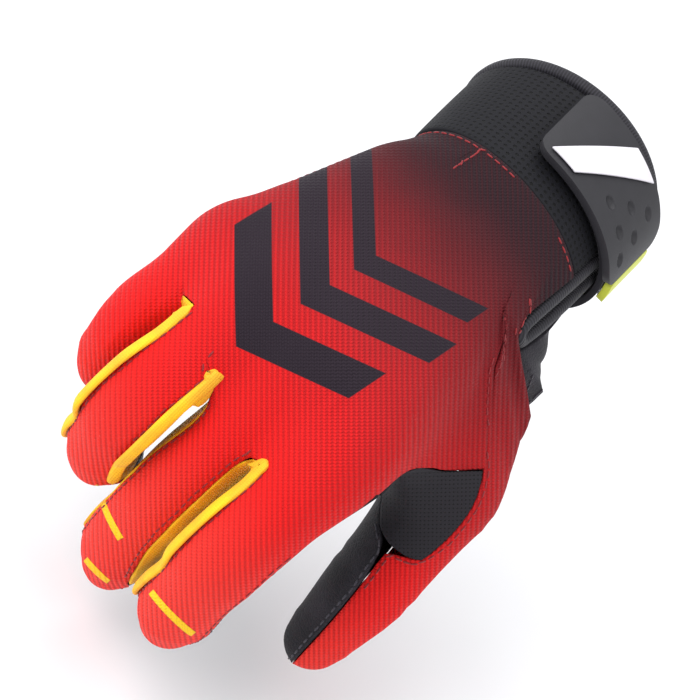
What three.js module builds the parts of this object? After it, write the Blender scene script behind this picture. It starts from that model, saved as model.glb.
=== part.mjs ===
// Motocross glove for the right hand, held in the half-curled shape of a hand that wears it.
// Sizes are in mm and angles in degrees. The origin is the centre of the wrist opening, +Y runs out of the
// opening, +Z is the back of the wrist, -Y runs to the fingers and the thumb is on the +X side.
import * as THREE from 'three';

// Cuff
const CUFF_LENGTH = 46;
const CUFF_WIDTH = 64;
const CUFF_DEPTH = 50;
const WRIST_WIDTH = 62;
const WRIST_DEPTH = 41;
const WRIST_INSET = 8;
const HEM_TILT = 12;
const HEM_TURN = 8;
const HEM_FADE = 13;

// Hand: knuckles lie in the plane of the palm, which drops from the cuff by the flex of the wrist
const WRIST_FLEX = 10;
const WRIST_TURN = 6;
const PALM_LENGTH = 90;
const KNUCKLE_PITCH = 19;
const PALM_DEPTH = 29;
const FINGER_LENGTH = 100;
const FINGER_WIDTH = 21.6;
const THUMB_LENGTH = 103;
const THUMB_WIDTH = 24;
const JOINT_ROUND = 13;

// Cloth and leather
const BACK_THICKNESS = 1.3;
const PALM_THICKNESS = 1.6;
const SIDE_THICKNESS = 1.1;
const CUFF_THICKNESS = 2.4;
const SEAM_GAP = 0.34;
const SLOT_WIDTH = 4.4;
const SLOT_LAP = 3;
const SLOT_ROUND = 6;
const FINGER_GAP = 1.4;

// Slit on the thumb side of the wrist
const SLIT_WIDTH = 13;
const SLIT_DEPTH = 27;
const SLIT_ANGLE = 14;

// Bindings and closure
const BINDING_WIDTH = 4;
const BINDING_HEIGHT = 3.4;
const BINDING_EASE = 0.6;
const STRAP_WIDTH = 27;
const STRAP_THICKNESS = 2;
const STRAP_CLEARANCE = 0.35;
const STRAP_TAIL = 36;
const STRAP_PLACE = 0.5;
const BADGE_ANGLE = 98;
const BADGE_LENGTH = 42;
const BADGE_WIDTH = 33;
const BADGE_THICKNESS = 2.2;
const BADGE_CORNER = 5;
const BAR_THICKNESS = 0.7;
const TIP_LENGTH = 6;
const TIP_WIDTH = 25;
const TIP_CORNER = 2;
const TAB_LENGTH = 9;
const TAB_WIDTH = 6;
const TAB_THICKNESS = 1.8;
const TAB_LIFT = 4;
// Slanted bar on the badge: where it starts and ends along the badge, at the hem's edge and at the rim's
const BAR_ENDS = [[0.05, 0.24], [0.45, 0.67]];
const BAR_MARGIN = 0.07;

// Knuckle: across in knuckle pitches, along in palm lengths, up in palm depths. Wrist: across in wrist widths.
// Length in finger lengths with its three shares, widths at knuckle, two joints and tip in finger widths.
const FINGERS = [
  { name: 'index', across: 1.27, along: 1.05, up: 0.045, wrist: 0.2, length: 0.865,
    shares: [0.495, 0.292, 0.213], widths: [1.28, 1.0, 0.92, 0.83], spread: -1, bends: [40, 44, 26], web: 0.5 },
  { name: 'middle', across: 0.15, along: 0.995, up: 0.18, wrist: 0.05, length: 1.0,
    shares: [0.495, 0.303, 0.202], widths: [1.28, 1.0, 0.92, 0.83], spread: -5, bends: [50, 38, 19], web: 0.48 },
  { name: 'ring', across: -0.92, along: 0.975, up: 0.12, wrist: -0.1, length: 0.865,
    shares: [0.49, 0.304, 0.206], widths: [1.24, 0.98, 0.9, 0.81], spread: -3.5, bends: [30, 68, 30], web: 0.46 },
  { name: 'little', across: -1.76, along: 0.87, up: -0.06, wrist: -0.24, length: 0.655,
    shares: [0.48, 0.293, 0.227], widths: [1.14, 0.89, 0.82, 0.74], spread: -7, bends: [33, 57, 40], web: 0.45 },
];
// Thumb: root in half wrist widths, palm lengths and palm depths; azimuth towards the thumb side and drop of
// each of the three segments, lengths in thumb lengths, widths at root, two joints and tip in thumb widths.
const THUMB = {
  root: [0.78, 0.188, -0.55], azimuths: [32, 13, 3], drops: [23, 46, 62],
  shares: [0.436, 0.317, 0.247], widths: [1.36, 1.17, 0.96, 0.79],
};
// Web of skin between thumb and index: share along the index bone, share along the thumb's first segment,
// width at the index end and at the thumb end in palm depths.
const WEB_BARS = [
  [0.05, -0.1, 1.15, 1.2], [0.18, 0.1, 1.08, 1.1], [0.4, 0.4, 0.92, 0.95], [0.62, 0.75, 0.78, 0.85], [0.85, 1.1, 0.6, 0.7],
];

// Rows of a finger from its tip to the web: angle over the rounded end, or a share of one of its segments,
// or a distance past the web, with the half angle of the side panel there.
const FINGER_ROWS = [
  { over: 84, half: 0 }, { over: 58, half: 0 }, { over: 29, half: 0 },
  { segment: 2, share: 1, half: 0 }, { segment: 2, share: 0.55, half: 18 }, { segment: 2, share: 0.18, half: 26 },
  { segment: 1, share: 0.8, half: 32 }, { segment: 1, share: 0.5, half: 36 }, { segment: 1, share: 0.2, half: 39 },
  { segment: 0, share: 0.86, half: 40 }, { past: 1, half: 42 }, { past: 0.28, half: 43 }, { past: 0, half: 43 },
];
// Rows of the thumb from its tip to the wrist: station of the outer seam as a share of the segment, its angle,
// and station and angle of the inner edge of the back and of the palm as far as the gusset goes. From there on
// the angle of the middle of the palm's strip, and from the slit on the share of its depth.
const THUMB_ROWS = [
  { over: 84, outer: [2, 1, -94], back: [2, 1, 94], palm: [2, 1, 94] },
  { over: 58, outer: [2, 1, -94], back: [2, 1, 94], palm: [2, 1, 94] },
  { over: 29, outer: [2, 1, -94], back: [2, 1, 94], palm: [2, 1, 94] },
  { outer: [2, 1, -94], back: [2, 1, 96], palm: [2, 1, 96] },
  { outer: [2, 0.55, -94], back: [2, 0.55, 98], palm: [2, 0.55, 98] },
  { outer: [2, 0.1, -94], back: [2, 0.1, 102], palm: [2, 0.1, 102] },
  { outer: [1, 0.74, -94], back: [1, 0.7, 106], palm: [1, 0.7, 106] },
  { outer: [1, 0.48, -94], back: [1, 0.58, 62], palm: [1, 0.52, 142] },
  { outer: [1, 0.24, -94], back: [1, 0.3, 56], palm: [1, 0.35, 160] },
  { outer: [0, 1, -90], back: [1, 0.04, 60], palm: [1, 0.2, 170] },
  { outer: [0, 0.84, -80], under: -120 },
  { outer: [0, 0.68, -60], under: -103 },
  { outer: [0, 0.5, -32], under: -79 },
  { slit: [-0.75, -0.75], down: 0, under: -36 },
  { slit: [-0.25, -1], down: 0.15, under: -36 },
  { slit: [0.25, -1.33], down: 0.35, under: -36 },
  { slit: [0.75, -1.66], down: 0.65, under: -37 },
  { slit: [2, -2], down: 1, under: -38 },
];
// Stations across the palm from the web row to the wrist, on the index and on the little finger, as shares of
// the way, and the rows at which the thumb's gusset starts and ends.
const INDEX_SHARES = [0, 0.16, 0.26, 0.36, 0.46, 0.56, 0.65, 0.73, 0.79, 0.83, 0.88, 0.94, 1];
const LITTLE_SHARES = [0, 0.08, 0.16, 0.25, 0.34, 0.43, 0.52, 0.61, 0.69, 0.77, 0.85, 0.93, 1];
const GUSSET_START = 1;
const GUSSET_END = 5;
const COLUMNS = 6;
const SIDE_COLUMNS = 4;
const CROTCH_STEP = 2;
const OUTER_SEAM = 94;
const PALM_SEAM = 0.6;
const LINE_ANGLE = 48;
const LINE_BEND = 8;
const BLEND = 2.6;
const SEAM_BLEND = 0.7;

// Vectors are arrays of three numbers
const add = (a, b) => [a[0] + b[0], a[1] + b[1], a[2] + b[2]];
const sub = (a, b) => [a[0] - b[0], a[1] - b[1], a[2] - b[2]];
const times = (a, s) => [a[0] * s, a[1] * s, a[2] * s];
const dot = (a, b) => a[0] * b[0] + a[1] * b[1] + a[2] * b[2];
const cross = (a, b) => [a[1] * b[2] - a[2] * b[1], a[2] * b[0] - a[0] * b[2], a[0] * b[1] - a[1] * b[0]];
const size = (a) => Math.sqrt(dot(a, a));
const unit = (a) => times(a, 1 / size(a));
const lerp = (a, b, t) => a + (b - a) * t;
const mix = (a, b, t) => add(times(a, 1 - t), times(b, t));
const clamp = (x, low, high) => Math.min(high, Math.max(low, x));
const ease = (x) => clamp(x, 0, 1) ** 2 * (3 - 2 * clamp(x, 0, 1));
const radians = (degrees) => (degrees * Math.PI) / 180;

// Rodrigues turn of a vector about a unit axis
function turn(v, axis, degrees) {
  const c = Math.cos(radians(degrees));
  const s = Math.sin(radians(degrees));
  return add(add(times(v, c), times(cross(axis, v), s)), times(axis, dot(axis, v) * (1 - c)));
}

const X = [1, 0, 0];
const Y = [0, 1, 0];
const Z = [0, 0, 1];
const WRIST = [0, WRIST_INSET - CUFF_LENGTH, 0];
const fromHand = (v) => turn(turn(v, Z, -WRIST_TURN), X, WRIST_FLEX);
const onHand = (across, along, up) => add(WRIST, fromHand([across, -along, up]));

// Digits: points from the wrist through the joints to the tip, half widths, and the way the back faces
const bendWay = JOINT_ROUND;
function fingerDigit(row) {
  const side = fromHand(turn(X, Z, row.spread));
  const ahead = fromHand(turn([0, -1, 0], Z, row.spread));
  const points = [add(WRIST, [row.wrist * WRIST_WIDTH, 0, 0])];
  points.push(onHand(row.across * KNUCKLE_PITCH, row.along * PALM_LENGTH, row.up * PALM_DEPTH));
  let bend = 0;
  row.shares.forEach((share, k) => {
    bend += row.bends[k];
    points.push(add(points[k + 1], times(turn(ahead, side, bend), share * row.length * FINGER_LENGTH)));
  });
  const halves = row.widths.map((w) => (w * FINGER_WIDTH) / 2);
  return { points, halves: [PALM_DEPTH * 0.55, ...halves], side, up: fromHand(Z), bends: row.bends };
}
function thumbDigit() {
  const root = onHand((THUMB.root[0] * WRIST_WIDTH) / 2, THUMB.root[1] * PALM_LENGTH, THUMB.root[2] * PALM_DEPTH);
  const points = [add(WRIST, [WRIST_WIDTH * 0.2, 0, 0]), root];
  THUMB.shares.forEach((share, k) => {
    const level = turn([0, -1, 0], Z, THUMB.azimuths[k]);
    const way = add(times(level, Math.cos(radians(THUMB.drops[k]))), times(Z, -Math.sin(radians(THUMB.drops[k]))));
    points.push(add(points[k + 1], times(fromHand(way), share * THUMB_LENGTH)));
  });
  const halves = THUMB.widths.map((w) => (w * THUMB_WIDTH) / 2);
  return { points, halves: [PALM_DEPTH * 0.55, ...halves], up: fromHand(unit([0.96, 0.19, 0])) };
}
const DIGITS = [thumbDigit(), ...FINGERS.map(fingerDigit)];
for (const digit of DIGITS) {
  digit.runs = digit.points.slice(1).map((p, k) => sub(p, digit.points[k]));
  digit.lengths = digit.runs.map(size);
  digit.starts = [-digit.lengths[0], 0, digit.lengths[1], digit.lengths[1] + digit.lengths[2]];
  digit.end = digit.starts[3] + digit.lengths[3];
}
// Station along a digit: segment -1 is the bone in the palm, 0 to 2 are the segments from the knuckle on
const station = (digit, segment, share) => digit.starts[segment + 1] + share * digit.lengths[segment + 1];

function centre(digit, t) {
  let k = 3;
  while (k > 0 && t < digit.starts[k]) k -= 1;
  const share = clamp((t - digit.starts[k]) / digit.lengths[k], 0, 1);
  return mix(digit.points[k], digit.points[k + 1], share);
}
// Way ahead, to the back and to the thumb side at a station, turned smoothly over each joint
function frame(digit, t) {
  let ahead = unit(digit.runs[0]);
  for (let k = 1; k < 4; k += 1) {
    const share = ease((t - digit.starts[k]) / (2 * bendWay) + 0.5);
    ahead = unit(mix(ahead, unit(digit.runs[k]), share));
  }
  const atWrist = 1 - ease((t - digit.starts[0] - WRIST_INSET) / (3 * bendWay));
  let back;
  if (digit.bends) {
    back = cross(ahead, digit.side);
    back = unit(mix(back, Z, atWrist));
  } else {
    back = unit(mix(digit.up, X, atWrist));
  }
  ahead = unit(mix(ahead, [0, -1, 0], atWrist));
  back = unit(sub(back, times(ahead, dot(back, ahead))));
  const side = digit.bends ? cross(back, ahead) : cross(ahead, back);
  return { ahead, back, side };
}
function halfWidth(digit, t) {
  let k = 3;
  while (k > 0 && t < digit.starts[k]) k -= 1;
  return lerp(digit.halves[k], digit.halves[k + 1], clamp((t - digit.starts[k]) / digit.lengths[k], 0, 1));
}
// Point beside a digit's centre line: at an angle from the back, or over its rounded end
function around(digit, t, angle, over = 0) {
  const way = frame(digit, t);
  const out = add(times(way.back, Math.cos(radians(angle))), times(way.side, Math.sin(radians(angle))));
  const lean = add(times(out, Math.cos(radians(over))), times(way.ahead, Math.sin(radians(over))));
  return add(centre(digit, t), times(lean, halfWidth(digit, t)));
}

// The form inside the cloth: tapered round bars along every bone, the web between thumb and index and the
// oval wrist, blended smoothly. A bar with no digit belongs to all of them.
const BARS = [];
function addBar(start, end, from, to, digit = null, phalanx = false) {
  const run = sub(end, start);
  BARS.push({ start, run, square: dot(run, run), from, grow: to - from, digit, phalanx });
}
DIGITS.forEach((digit, d) => {
  digit.runs.forEach((run, k) => {
    addBar(digit.points[k], digit.points[k + 1], digit.halves[k], digit.halves[k + 1], d, k > 0);
  });
});
for (let d = 1; d < 4; d += 1) {
  const [a, b] = [DIGITS[d], DIGITS[d + 1]];
  const knuckle = (PALM_DEPTH * 0.47);
  addBar(mix(a.points[0], b.points[0], 0.5), mix(a.points[1], b.points[1], 0.5), PALM_DEPTH * 0.55, knuckle);
}
for (const [onIndex, onThumb, atIndex, atThumb] of WEB_BARS) {
  const start = mix(DIGITS[1].points[0], DIGITS[1].points[1], onIndex);
  const end = centre(DIGITS[0], onThumb * DIGITS[0].lengths[1]);
  addBar(start, end, (atIndex * PALM_DEPTH) / 2.4, (atThumb * PALM_DEPTH) / 2.4);
}

// Half width and half depth of the oval cuff, from the hem at 0 to the rim at 1
function cuffHalves(share) {
  const flare = clamp(share, 0, 1) ** 1.3;
  return [lerp(WRIST_WIDTH, CUFF_WIDTH, flare) / 2, lerp(WRIST_DEPTH, CUFF_DEPTH, flare) / 2];
}
const hemDrop = (x, z) => CUFF_LENGTH + x * Math.tan(radians(HEM_TURN)) + z * Math.tan(radians(HEM_TILT));
function cuffDistance(p) {
  const [a, b] = cuffHalves(1 + p[1] / hemDrop(p[0], p[2]));
  const level = Math.hypot(p[0] / a, p[2] / b) + 1e-9;
  const slope = Math.hypot(p[0] / a / a, p[2] / b / b) + 1e-9;
  const past = Math.max(-p[1] - hemDrop(p[0], p[2]), 0);
  return ((level - 1) * level) / slope + (past * past) / (past + PALM_DEPTH / 2);
}
function barDistance(bar, p) {
  const q = sub(p, bar.start);
  const share = clamp(dot(q, bar.run) / bar.square, 0, 1);
  return size(sub(q, times(bar.run, share))) - bar.from - bar.grow * share;
}

// Slots between neighbouring digits: where the web ends and which way it opens
const SLOTS = [];
{
  const [thumb, index] = DIGITS;
  const onIndex = around(index, 0, 90);
  const onThumb = around(thumb, station(thumb, 1, 0.6), 110);
  const ahead = unit(add(unit(index.runs[0]), unit(thumb.runs[1])));
  SLOTS.push({ web: mix(onIndex, onThumb, 0.5), ahead, whole: true });
}
for (let d = 1; d < 4; d += 1) {
  const [a, b] = [DIGITS[d], DIGITS[d + 1]];
  const share = (FINGERS[d - 1].web + FINGERS[d].web) / 2;
  const [ta, tb] = [station(a, 0, share), station(b, 0, share)];
  const ahead = unit(add(unit(a.runs[1]), unit(b.runs[1])));
  const web = add(mix(centre(a, ta), centre(b, tb), 0.5), times(ahead, SLOT_LAP));
  SLOTS.push({ web, ahead });
}
const pastWeb = (slot, p) => dot(sub(p, slot.web), slot.ahead);
function slotHalf(past) {
  if (past <= 0) return 2 * past;
  const round = Math.sqrt(1 - (1 - Math.min(past / SLOT_ROUND, 1)) ** 2);
  const narrow = ease((past - SLOT_ROUND) / (3 * SLOT_ROUND));
  return (round * lerp(SLOT_WIDTH, FINGER_GAP, narrow)) / 2;
}

function ownDistance(d, p) {
  let nearest = Infinity;
  for (const bar of BARS) if (bar.digit === d) nearest = Math.min(nearest, barDistance(bar, p));
  return nearest;
}
// Signed distance to the form as seen from one digit: past a web the other digits fade out, and the slot
// between two fingers is cut with a round end
function field(d, p) {
  let total = Math.exp(-cuffDistance(p) / BLEND);
  const near = Math.max(HEM_FADE + p[1] + hemDrop(p[0], p[2]), 0);
  for (const bar of BARS) {
    let away = barDistance(bar, p) + (near * near) / HEM_FADE;
    if (bar.digit !== null && bar.digit !== d) {
      const slot = SLOTS[bar.digit < d ? d - 1 : d];
      const past = slot.whole || bar.phalanx ? Math.max(pastWeb(slot, p), 0) : 0;
      away += (past * past) / (past + 10);
    }
    total += Math.exp(-away / BLEND);
  }
  let value = -BLEND * Math.log(total);
  for (const other of [d - 1, d + 1]) {
    const slot = SLOTS[Math.min(d, other)];
    if (!slot || slot.whole) continue;
    const beside = (ownDistance(other, p) - ownDistance(d, p)) / 2;
    const cut = slotHalf(pastWeb(slot, p)) - beside;
    value = SEAM_BLEND * Math.log(Math.exp(value / SEAM_BLEND) + Math.exp(Math.max(cut, -20) / SEAM_BLEND));
  }
  return value;
}
function slope(d, p) {
  const h = 0.04;
  return [0, 1, 2].map((axis) => {
    const step = [0, 0, 0];
    step[axis] = h;
    return (field(d, add(p, step)) - field(d, sub(p, step))) / (2 * h);
  });
}
// Newton steps onto the form, within a plane where its normal is given
function snap(d, p, plane = null) {
  let q = p;
  for (let k = 0; k < 9; k += 1) {
    let g = slope(d, q);
    if (plane) g = sub(g, times(plane, dot(g, plane)));
    const step = clamp(-field(d, q) / Math.max(dot(g, g), 0.05), -4, 4);
    q = add(q, times(g, step));
  }
  return q;
}
const hemPlane = unit([Math.tan(radians(HEM_TURN)), 1, Math.tan(radians(HEM_TILT))]);
const onHem = (p) => [p[0], -hemDrop(p[0], p[2]), p[2]];

// Seam points of the fingers. A face is +1 on the back and -1 on the palm, and an edge is +1 towards the
// thumb and -1 towards the little finger. Row FINGER_ROWS.length - 1 is the web and the palm follows it.
const WEB_ROW = FINGER_ROWS.length - 1;
const LAST_ROW = WEB_ROW + INDEX_SHARES.length - 1;
const THUMB_SHIFT = THUMB_ROWS.length - 1 - LAST_ROW;
const webStation = (d) => station(DIGITS[d], 0, FINGERS[d - 1].web);

function palmStation(d, row, place) {
  const share = lerp(INDEX_SHARES[row - WEB_ROW], LITTLE_SHARES[row - WEB_ROW], place);
  return lerp(webStation(d), DIGITS[d].starts[0] + WRIST_INSET, share);
}
function fingerStation(d, row, edge) {
  const entry = FINGER_ROWS[row];
  if (entry.over) return DIGITS[d].end;
  if (entry.segment !== undefined) return station(DIGITS[d], entry.segment, entry.share);
  return webStation(d) + entry.past * SLOT_ROUND;
}
const cache = new Map();
function kept(key, make) {
  if (!cache.has(key)) cache.set(key, make());
  return cache.get(key);
}
const finish = (d, p, row) => (row === LAST_ROW ? snap(d, onHem(p), hemPlane) : snap(d, p));

// Middle of the web line between digits d and d + 1 on a face
function webPoint(d, row, face) {
  return kept(`web ${d} ${row} ${face}`, () => {
    const [a, b] = [DIGITS[d], DIGITS[d + 1]];
    const place = (d - 0.5) / 3;
    const [ta, tb] = [palmStation(d, row, place), palmStation(d + 1, row, place)];
    const up = unit(add(frame(a, ta).back, frame(b, tb).back));
    const middle = mix(centre(a, ta), centre(b, tb), 0.5);
    return finish(d, add(middle, times(up, (face * PALM_DEPTH) / 2)), row);
  });
}
// Line between the thumb strip and the index strip
function thumbLine(row, face) {
  return kept(`line ${row} ${face}`, () => {
    const [thumb, index] = DIGITS;
    const first = INDEX_SHARES[GUSSET_END];
    const share = (INDEX_SHARES[row - WEB_ROW] - first) / (1 - first);
    if (face > 0) {
      const start = around(thumb, station(thumb, 0, 0.88), 70);
      const [a, b] = cuffHalves(0);
      const angle = radians(LINE_ANGLE);
      const end = onHem([a * Math.cos(angle), 0, b * Math.sin(angle)]);
      const beside = add(slitMiddle(-0.2), times(slitAcross(), SLIT_WIDTH));
      const bend = (INDEX_SHARES[LINE_BEND] - first) / (1 - first);
      const guess = share < bend ? mix(start, beside, share / bend) : mix(beside, end, (share - bend) / (1 - bend));
      return finish(1, guess, row);
    }
    const ti = lerp(palmStation(1, WEB_ROW + GUSSET_START + 1, 0), index.starts[0] + WRIST_INSET, share);
    const tt = lerp(station(thumb, 1, 0.05), thumb.starts[0] + WRIST_INSET, share);
    const down = times(frame(index, ti).back, (-PALM_DEPTH / 2) * 0.9);
    return finish(1, add(mix(centre(index, ti), centre(thumb, tt), 0.5), down), row);
  });
}
function fingerEdge(d, row, edge, face) {
  if (row >= WEB_ROW) {
    if (edge < 0 && d < 4) return webPoint(d, row, face);
    if (edge > 0 && d > 1) return webPoint(d - 1, row, face);
    if (d === 1) return indexEdge(row, face);
  }
  const outer = (d === 4 && edge < 0) || (d === 1 && edge > 0);
  if (outer) {
    return kept(`outer ${d} ${row}`, () => {
      const t = row > WEB_ROW ? palmStation(d, row, d === 4 ? 1 : 0) : fingerStation(d, row);
      return finish(d, around(DIGITS[d], t, edge * OUTER_SEAM, (FINGER_ROWS[row] || {}).over), row);
    });
  }
  const { half, over } = FINGER_ROWS[row];
  const key = half ? face : 0;
  return kept(`edge ${d} ${row} ${edge} ${key}`, () => {
    const t = fingerStation(d, row);
    let guess = around(DIGITS[d], t, edge * (90 - face * half * (face > 0 ? 1 : PALM_SEAM)), over);
    const past = (t - webStation(d)) / SLOT_ROUND;
    if (past < 1) {
      const open = Math.sqrt(1 - (1 - past) ** 2);
      guess = mix(webPoint(edge > 0 ? d - 1 : d, WEB_ROW, face), guess, open);
    }
    return snap(d, guess);
  });
}
// Edge of the index strip on the thumb side: its own seam, then the gusset's edge, then the thumb line
function indexEdge(row, face) {
  const palmRow = row - WEB_ROW;
  if (palmRow >= GUSSET_END) return thumbLine(row, face);
  if (palmRow <= GUSSET_START) {
    return kept(`outer 1 ${row}`, () => snap(1, around(DIGITS[1], palmStation(1, row, 0), OUTER_SEAM)));
  }
  return kept(`gusset ${row} ${face}`, () => {
    const start = indexEdge(WEB_ROW + GUSSET_START, face);
    const end = thumbLine(WEB_ROW + GUSSET_END, face);
    const share = (palmRow - GUSSET_START) / (GUSSET_END - GUSSET_START);
    return snap(1, mix(start, end, share));
  });
}
// Middle line of the slit in the wrist, from its round end at 0 to the hem at 1
function slitMiddle(share) {
  const [a, b] = cuffHalves(0);
  const angle = radians(SLIT_ANGLE);
  const hem = onHem([a * Math.cos(angle), 0, b * Math.sin(angle)]);
  return add(hem, fromHand([0, (share - 1) * SLIT_DEPTH, 0]));
}
// Way across the slit to the back, along the oval of the hem
function slitAcross() {
  const [a, b] = cuffHalves(0);
  const angle = radians(SLIT_ANGLE);
  return unit([-a * Math.sin(angle), 0, b * Math.cos(angle)]);
}
// Edge of the slit: from -1 to 1 round its end, from the palm to the back, and on to the hem at -2 and 2
function slitEdge(place, row) {
  const round = SLIT_WIDTH / 2;
  const angle = radians(90 * clamp(place, -1, 1));
  const along = round * (1 - Math.cos(angle)) + Math.max(Math.abs(place) - 1, 0) * (SLIT_DEPTH - round);
  const guess = add(slitMiddle(along / SLIT_DEPTH), times(slitAcross(), round * Math.sin(angle)));
  return finish(0, guess, row);
}
function thumbEdge(row, edge, face) {
  const entry = THUMB_ROWS[row];
  const thumb = DIGITS[0];
  if (edge < 0) {
    if (row - THUMB_SHIFT >= WEB_ROW + GUSSET_END) return thumbLine(row - THUMB_SHIFT, face);
    const [segment, share, angle] = face > 0 ? entry.back : entry.palm;
    return kept(`thumb inner ${row} ${segment} ${share} ${angle}`, () => {
      return snap(0, around(thumb, station(thumb, segment, share), angle, entry.over));
    });
  }
  if (entry.slit !== undefined) {
    const place = entry.slit[face > 0 ? 0 : 1];
    return kept(`slit ${place}`, () => slitEdge(place, row - THUMB_SHIFT));
  }
  const [segment, share, angle] = entry.outer;
  return kept(`thumb outer ${row}`, () => snap(0, around(thumb, station(thumb, segment, share), angle, entry.over)));
}
const edgePoint = (d, row, edge, face) => (d === 0 ? thumbEdge(row, edge, face) : fingerEdge(d, row, edge, face));

// Middle of the arc that leaves the form's surface at one point and meets it at the other
function arcMiddle(d, a, b) {
  const [m, n] = [unit(slope(d, a)), unit(slope(d, b))];
  const angle = Math.acos(clamp(dot(m, n), -1, 1));
  const convex = Math.sign(dot(sub(n, m), sub(b, a)));
  const bulge = (convex * size(sub(b, a)) * Math.tan(angle / 4)) / 2;
  return add(mix(a, b, 0.5), times(unit(add(m, n)), bulge));
}
// Middle of a strip on a row
function middlePoint(d, row, face) {
  const digit = DIGITS[d];
  const [near, far] = [edgePoint(d, row, 1, face), edgePoint(d, row, -1, face)];
  if (d === 0) {
    if (row - THUMB_SHIFT >= WEB_ROW + GUSSET_END) {
      if (face > 0) return finish(0, arcMiddle(0, near, far), row - THUMB_SHIFT);
      const { down, outer, under } = THUMB_ROWS[row];
      const slitStart = station(digit, 0, 0.18);
      const t = outer ? station(digit, outer[0], outer[1]) : lerp(slitStart, digit.starts[0] + WRIST_INSET, down);
      return finish(0, around(digit, t, under), row - THUMB_SHIFT);
    }
    const entry = THUMB_ROWS[row];
    const inner = face > 0 ? entry.back : entry.palm;
    const t = (station(digit, inner[0], inner[1]) + station(digit, entry.outer[0], entry.outer[1])) / 2;
    const angle = face > 0 ? (inner[2] + entry.outer[2]) / 2 : (inner[2] + entry.outer[2] + 360) / 2;
    return snap(0, around(digit, t, angle, entry.over));
  }
  const t = row > WEB_ROW ? palmStation(d, row, (d - 1) / 3) : fingerStation(d, row);
  const guess = around(digit, t, face > 0 ? 0 : 180, (FINGER_ROWS[row] || {}).over);
  return finish(d, guess, row);
}
// Point of a strip at u from 1 on the thumb side to -1 on the little finger's side
function through(near, middle, far, u) {
  return add(add(times(near, (u * (u + 1)) / 2), times(middle, 1 - u * u)), times(far, (u * (u - 1)) / 2));
}
const straight = (near, middle, far, u) => mix(middle, u > 0 ? near : far, Math.abs(u));
function stripPoint(d, row, column, face) {
  const u = 1 - (2 * column) / COLUMNS;
  const [near, far] = [edgePoint(d, row, 1, face), edgePoint(d, row, -1, face)];
  if (column === 0) return near;
  if (column === COLUMNS) return far;
  if (row === 0) return snap(d, mix(near, far, column / COLUMNS));
  const middle = middlePoint(d, row, face);
  if (d > 0) return finish(d, through(near, middle, far, u), row);
  return finish(d, straight(near, middle, far, u), row - THUMB_SHIFT);
}

// A closed sheet: outer points with their normals, quads of indices, pulled in at its edges for the seam gap
// and thickened inwards
function sheet(points, normals, quads, thickness, inset = SEAM_GAP / 2) {
  const faces = [];
  for (const [a, b, c, e] of quads) faces.push([a, b, c], [a, c, e]);
  let facing = 0;
  for (const [a, b, c] of faces) {
    facing += dot(cross(sub(points[b], points[a]), sub(points[c], points[a])), normals[a]);
  }
  if (facing < 0) for (const face of faces) face.reverse();
  const edges = new Map();
  for (const face of faces) {
    face.forEach((a, k) => {
      const b = face[(k + 1) % 3];
      if (edges.has(`${b} ${a}`)) edges.delete(`${b} ${a}`);
      else edges.set(`${a} ${b}`, [a, b]);
    });
  }
  const pull = new Map();
  for (const [a, b] of edges.values()) {
    const way = sub(points[b], points[a]);
    for (const k of [a, b]) {
      const left = unit(cross(normals[k], way));
      if (!pull.has(k)) pull.set(k, []);
      pull.get(k).push(left);
    }
  }
  const outer = points.slice();
  for (const [k, lefts] of pull) {
    const way = unit(lefts.reduce(add));
    const reach = inset / Math.max(dot(way, lefts[0]), 0.45);
    outer[k] = add(points[k], times(way, reach));
  }
  const inner = outer.map((p, k) => sub(p, times(normals[k], thickness)));
  const count = points.length;
  const indices = [];
  for (const [a, b, c] of faces) {
    indices.push(a, b, c);
    indices.push(a + count, c + count, b + count);
  }
  for (const [a, b] of edges.values()) {
    indices.push(b, a, a + count);
    indices.push(b, a + count, b + count);
  }
  return solid([...outer, ...inner], indices);
}
function solid(points, indices) {
  const geometry = new THREE.BufferGeometry();
  geometry.setAttribute('position', new THREE.Float32BufferAttribute(points.flat(), 3));
  geometry.setIndex(indices);
  geometry.computeVertexNormals();
  return geometry;
}

// Back or palm: one strip per digit, joined along the web lines and the thumb line
function handPanel(face, thickness) {
  const points = [];
  const normals = [];
  const quads = [];
  const numbers = new Map();
  const vertex = (d, row, column) => {
    const handRow = d === 0 ? row - THUMB_SHIFT : row;
    const joins = d === 1 ? WEB_ROW + GUSSET_END : WEB_ROW;
    if (column === 0 && d > 0 && handRow >= joins) {
      return vertex(d - 1, d === 1 ? row + THUMB_SHIFT : row, COLUMNS);
    }
    const key = `${d} ${row} ${column}`;
    if (!numbers.has(key)) {
      numbers.set(key, points.length);
      const p = stripPoint(d, row, column, face);
      const normal = slope(d, p);
      points.push(p);
      normals.push(unit(handRow === LAST_ROW ? sub(normal, times(hemPlane, dot(normal, hemPlane))) : normal));
    }
    return numbers.get(key);
  };
  for (let d = 0; d < 5; d += 1) {
    const last = d === 0 ? LAST_ROW + THUMB_SHIFT : LAST_ROW;
    for (let row = 0; row < last; row += 1) {
      for (let column = 0; column < COLUMNS; column += 1) {
        quads.push([
          vertex(d, row, column), vertex(d, row, column + 1),
          vertex(d, row + 1, column + 1), vertex(d, row + 1, column),
        ]);
      }
    }
  }
  return sheet(points, normals, quads, thickness);
}

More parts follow.
